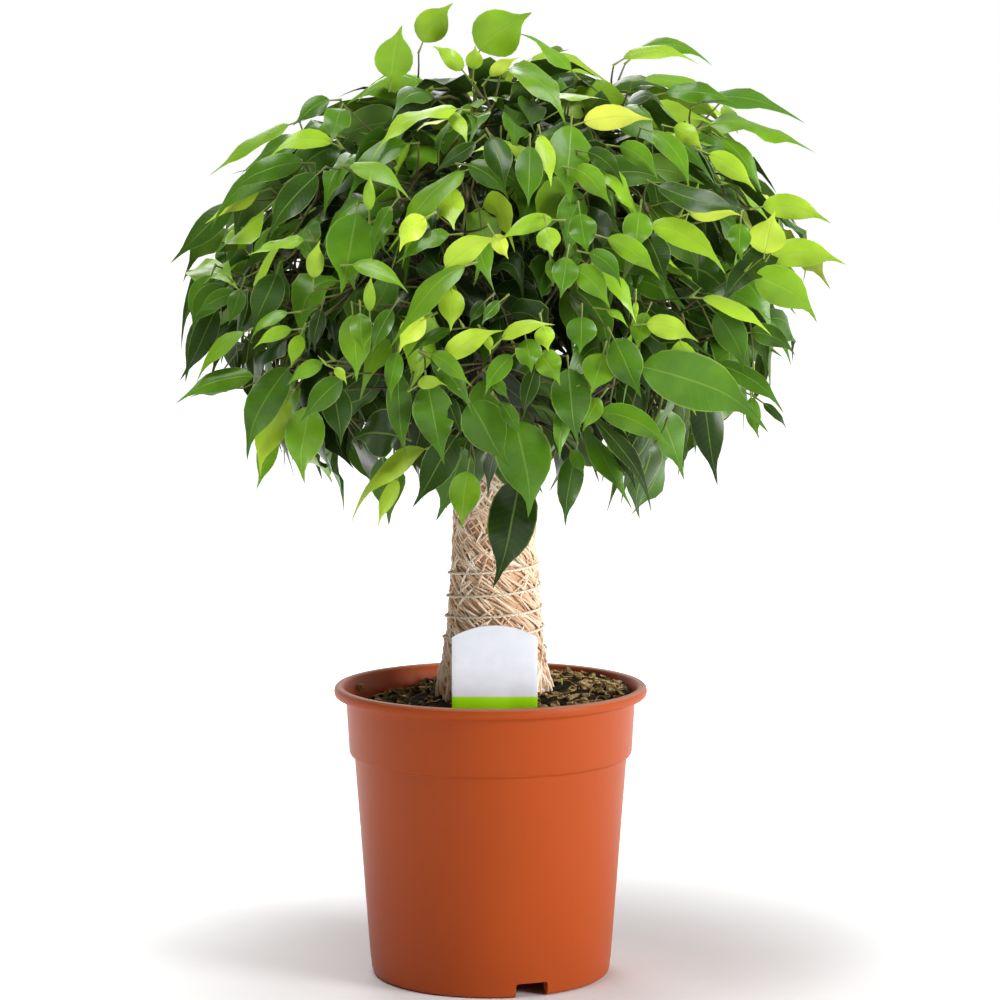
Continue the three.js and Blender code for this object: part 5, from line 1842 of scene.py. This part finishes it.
sisal_material, tree, surface = new_material("dry_sisal")
object_place = piece_place(tree)
fibres = cloudy(tree, object_place, 900.0, 4.0)
stain = cloudy(tree, object_place, 70.0, 2.0)
value = worked(tree, "ADD", scaled(tree, carried(tree, "tone"), 0.6), scaled(tree, fibres, 0.45))
value = worked(tree, "ADD", value, varied(tree, stain, 0.5, 0.35))
tree.links.new(ramped(tree, value, SISAL_STOPS), surface.inputs["Base Color"])
roughen(tree, surface, 0.5, 0.0004, fibres)
surface.inputs["Roughness"].default_value = 0.8
sleeve.data.materials.append(sisal_material)
wrap_piece = gather("sisal_wrap", strands, [sisal_material])
start_fresh()
sleeve.select_set(True)
wrap_piece.select_set(True)
bpy.context.view_layer.objects.active = wrap_piece
bpy.ops.object.join()
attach(wrap_piece, "root")
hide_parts("trunk_wrap")
print("wrap:", len(wrap_piece.data.polygons), "faces")

# %% [markdown]
# ## Twine
# A pale two-ply twine is wound four times round the wrap to hold it. The two plies are swept as thin
# cords that twist round the line of the winding, so that the light breaks along it as on real string.

# %% Twine
TWINE_TURNS = 4
TWINE_PITCH = 11.6
TWINE_TOP_Z = 225
TWINE_RADIUS = 0.8
PLY_RADIUS = 0.46
PLY_PITCH = 5.0
PLY_OFFSET = 0.36
TWINE_STEP_COUNT = 640

twine_material, tree, surface = new_material("cotton_twine")
lint = cloudy(tree, piece_place(tree), 1500.0, 3.0)
tree.links.new(ramped(tree, lint, [(0.25, "#d8c6a6"), (0.7, "#f5ecdc")]), surface.inputs["Base Color"])
roughen(tree, surface, 0.4, 0.0002, lint)
surface.inputs["Roughness"].default_value = 0.9

shares = np.linspace(0, 1, TWINE_STEP_COUNT + 1)
line = []
for t in shares:
    z = TWINE_TOP_Z - TWINE_PITCH * TWINE_TURNS * t + 0.5 * math.sin(9 * t + 1)
    line.append(on_wrap(-2 * math.pi * TWINE_TURNS * t, z, WRAP_RIDGE + JOINT_GAP + 0.9 * TWINE_RADIUS))
line = np.array(line)
run = np.concatenate([[0], np.cumsum(np.linalg.norm(np.diff(line, axis=0), axis=1))])
plies = []
for start in (0, math.pi):
    centres = []
    for point, length in zip(line, run):
        out = unit(point - np.array([TRUNK_X, 0, point[2]]))
        twist = start + 2 * math.pi * length / PLY_PITCH
        off_line = out * math.cos(twist) + np.array([0, 0, 1.0]) * math.sin(twist)
        centres.append(point + PLY_OFFSET * off_line)
    plies.append(tube(centres, [PLY_RADIUS] * len(centres), 5, 1))
twine_piece = gather("two_ply_twine", plies, [twine_material])
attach(twine_piece, "root")
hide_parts("binding_twine")
print("twine:", round(run[-1]), "mm long")

# %% [markdown]
# ## Plant label
# The label is die-cut from white plastic sheet, with an arched top and a stake that holds it in the
# mix. Its face is plain white above a green band. It is a grid stood upright: its top row is arched,
# four edges of its foot are drawn down as the stake, and Solidify gives the sheet its thickness.

# %% Label
LABEL_X = 2.3
LABEL_Y = -60
LABEL_WIDTH = 45
LABEL_TOP_Z = 199
LABEL_ARCH = 6.3
LABEL_FOOT_Z = 153
LABEL_COLUMNS = 14
STAKE_WIDTH = 13
STAKE_SHOULDER_Z = 149
STAKE_TIP_Z = 98
STAKE_POINT = 12
LABEL_THICKNESS = 0.9
BAND_TOP_Z = 161.2

start_fresh()
bpy.ops.mesh.primitive_grid_add(x_subdivisions=LABEL_COLUMNS, y_subdivisions=1, size=1)
label_piece = bpy.context.object
label_piece.name = "blank_plant_label"
label_height = LABEL_TOP_Z - LABEL_ARCH - LABEL_FOOT_Z
arch_radius = ((LABEL_WIDTH / 2) ** 2 + LABEL_ARCH**2) / (2 * LABEL_ARCH)
bpy.ops.transform.resize(value=(LABEL_WIDTH * MM, label_height * MM, 1))
label_piece.rotation_euler = (math.pi / 2, 0, 0)
label_piece.location = (LABEL_X * MM, LABEL_Y * MM, (LABEL_FOOT_Z + label_height / 2) * MM)
bpy.ops.object.transform_apply(location=True, rotation=True, scale=True)
bpy.ops.object.mode_set(mode="EDIT")
for column in range(1, LABEL_COLUMNS):
    off_centre = column / LABEL_COLUMNS * 2 - 1
    x = (LABEL_X + off_centre * LABEL_WIDTH / 2) * MM
    work = bmesh.from_edit_mesh(label_piece.data)
    for vertex in work.verts:
        in_top_row = vertex.co.z > (LABEL_TOP_Z - 2 * LABEL_ARCH) * MM
        vertex.select_set(in_top_row and abs(vertex.co.x - x) < 0.2 * MM)
    work.select_flush_mode()
    rise = math.sqrt(arch_radius**2 - (off_centre * LABEL_WIDTH / 2) ** 2) - arch_radius + LABEL_ARCH
    bpy.ops.transform.translate(value=(0, 0, rise * MM))
work = bmesh.from_edit_mesh(label_piece.data)
for edge in work.edges:
    middle = (edge.verts[0].co + edge.verts[1].co) / 2
    at_foot = all(abs(vertex.co.z - LABEL_FOOT_Z * MM) < 0.2 * MM for vertex in edge.verts)
    edge.select_set(at_foot and abs(middle.x - LABEL_X * MM) < STAKE_WIDTH / 2 * MM)
shoulder, blade = LABEL_FOOT_Z - STAKE_SHOULDER_Z, STAKE_SHOULDER_Z - STAKE_TIP_Z - STAKE_POINT
for drop, share in ((shoulder, 1.0), (blade, 0.9), (STAKE_POINT, 0.1)):
    bpy.ops.mesh.extrude_edges_move(TRANSFORM_OT_translate={"value": (0, 0, -drop * MM)})
    bpy.ops.transform.resize(value=(share, 1, 1), center_override=(LABEL_X * MM, LABEL_Y * MM, 0))
bpy.ops.object.mode_set(mode="OBJECT")
finished(label_piece, "SOLIDIFY", thickness=LABEL_THICKNESS * MM, offset=0)
finished(
    label_piece, "BEVEL", width=0.15 * MM, segments=2, limit_method="ANGLE", angle_limit=math.radians(50),
)
smooth(label_piece, 35)
print("label:", len(label_piece.data.polygons), "faces")

# %% [markdown]
# ## Printed sheet
# The label is white polystyrene with a satin face. Its green band is printed, so it ends in a sharp
# line and turns a little yellower and lighter towards its top.

# %% Label material
label_material, tree, surface = new_material("printed_polystyrene_sheet")
object_place = piece_place(tree)
height = add_node(tree, "ShaderNodeSeparateXYZ", {0: object_place}).outputs[2]
sheen = cloudy(tree, object_place, 160.0, 2.0)
white = ramped(tree, sheen, [(0.3, "#e3e5ee"), (0.7, "#e9ebf2")])
up_band = between(tree, height, LABEL_FOOT_Z * MM, BAND_TOP_Z * MM)
green = ramped(tree, up_band, [(0.0, "#9ae60c"), (1.0, "#b0f20c")])
band = between(tree, height, (BAND_TOP_Z + 0.1) * MM, (BAND_TOP_Z - 0.1) * MM)
tree.links.new(mixed(tree, band, white, green), surface.inputs["Base Color"])
tree.links.new(worked(tree, "ADD", scaled(tree, sheen, 0.1), 0.32), surface.inputs["Roughness"])
label_piece.data.materials.clear()
label_piece.data.materials.append(label_material)
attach(label_piece, "root")
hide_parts("plant_label")
print("label finish:", label_material.name)
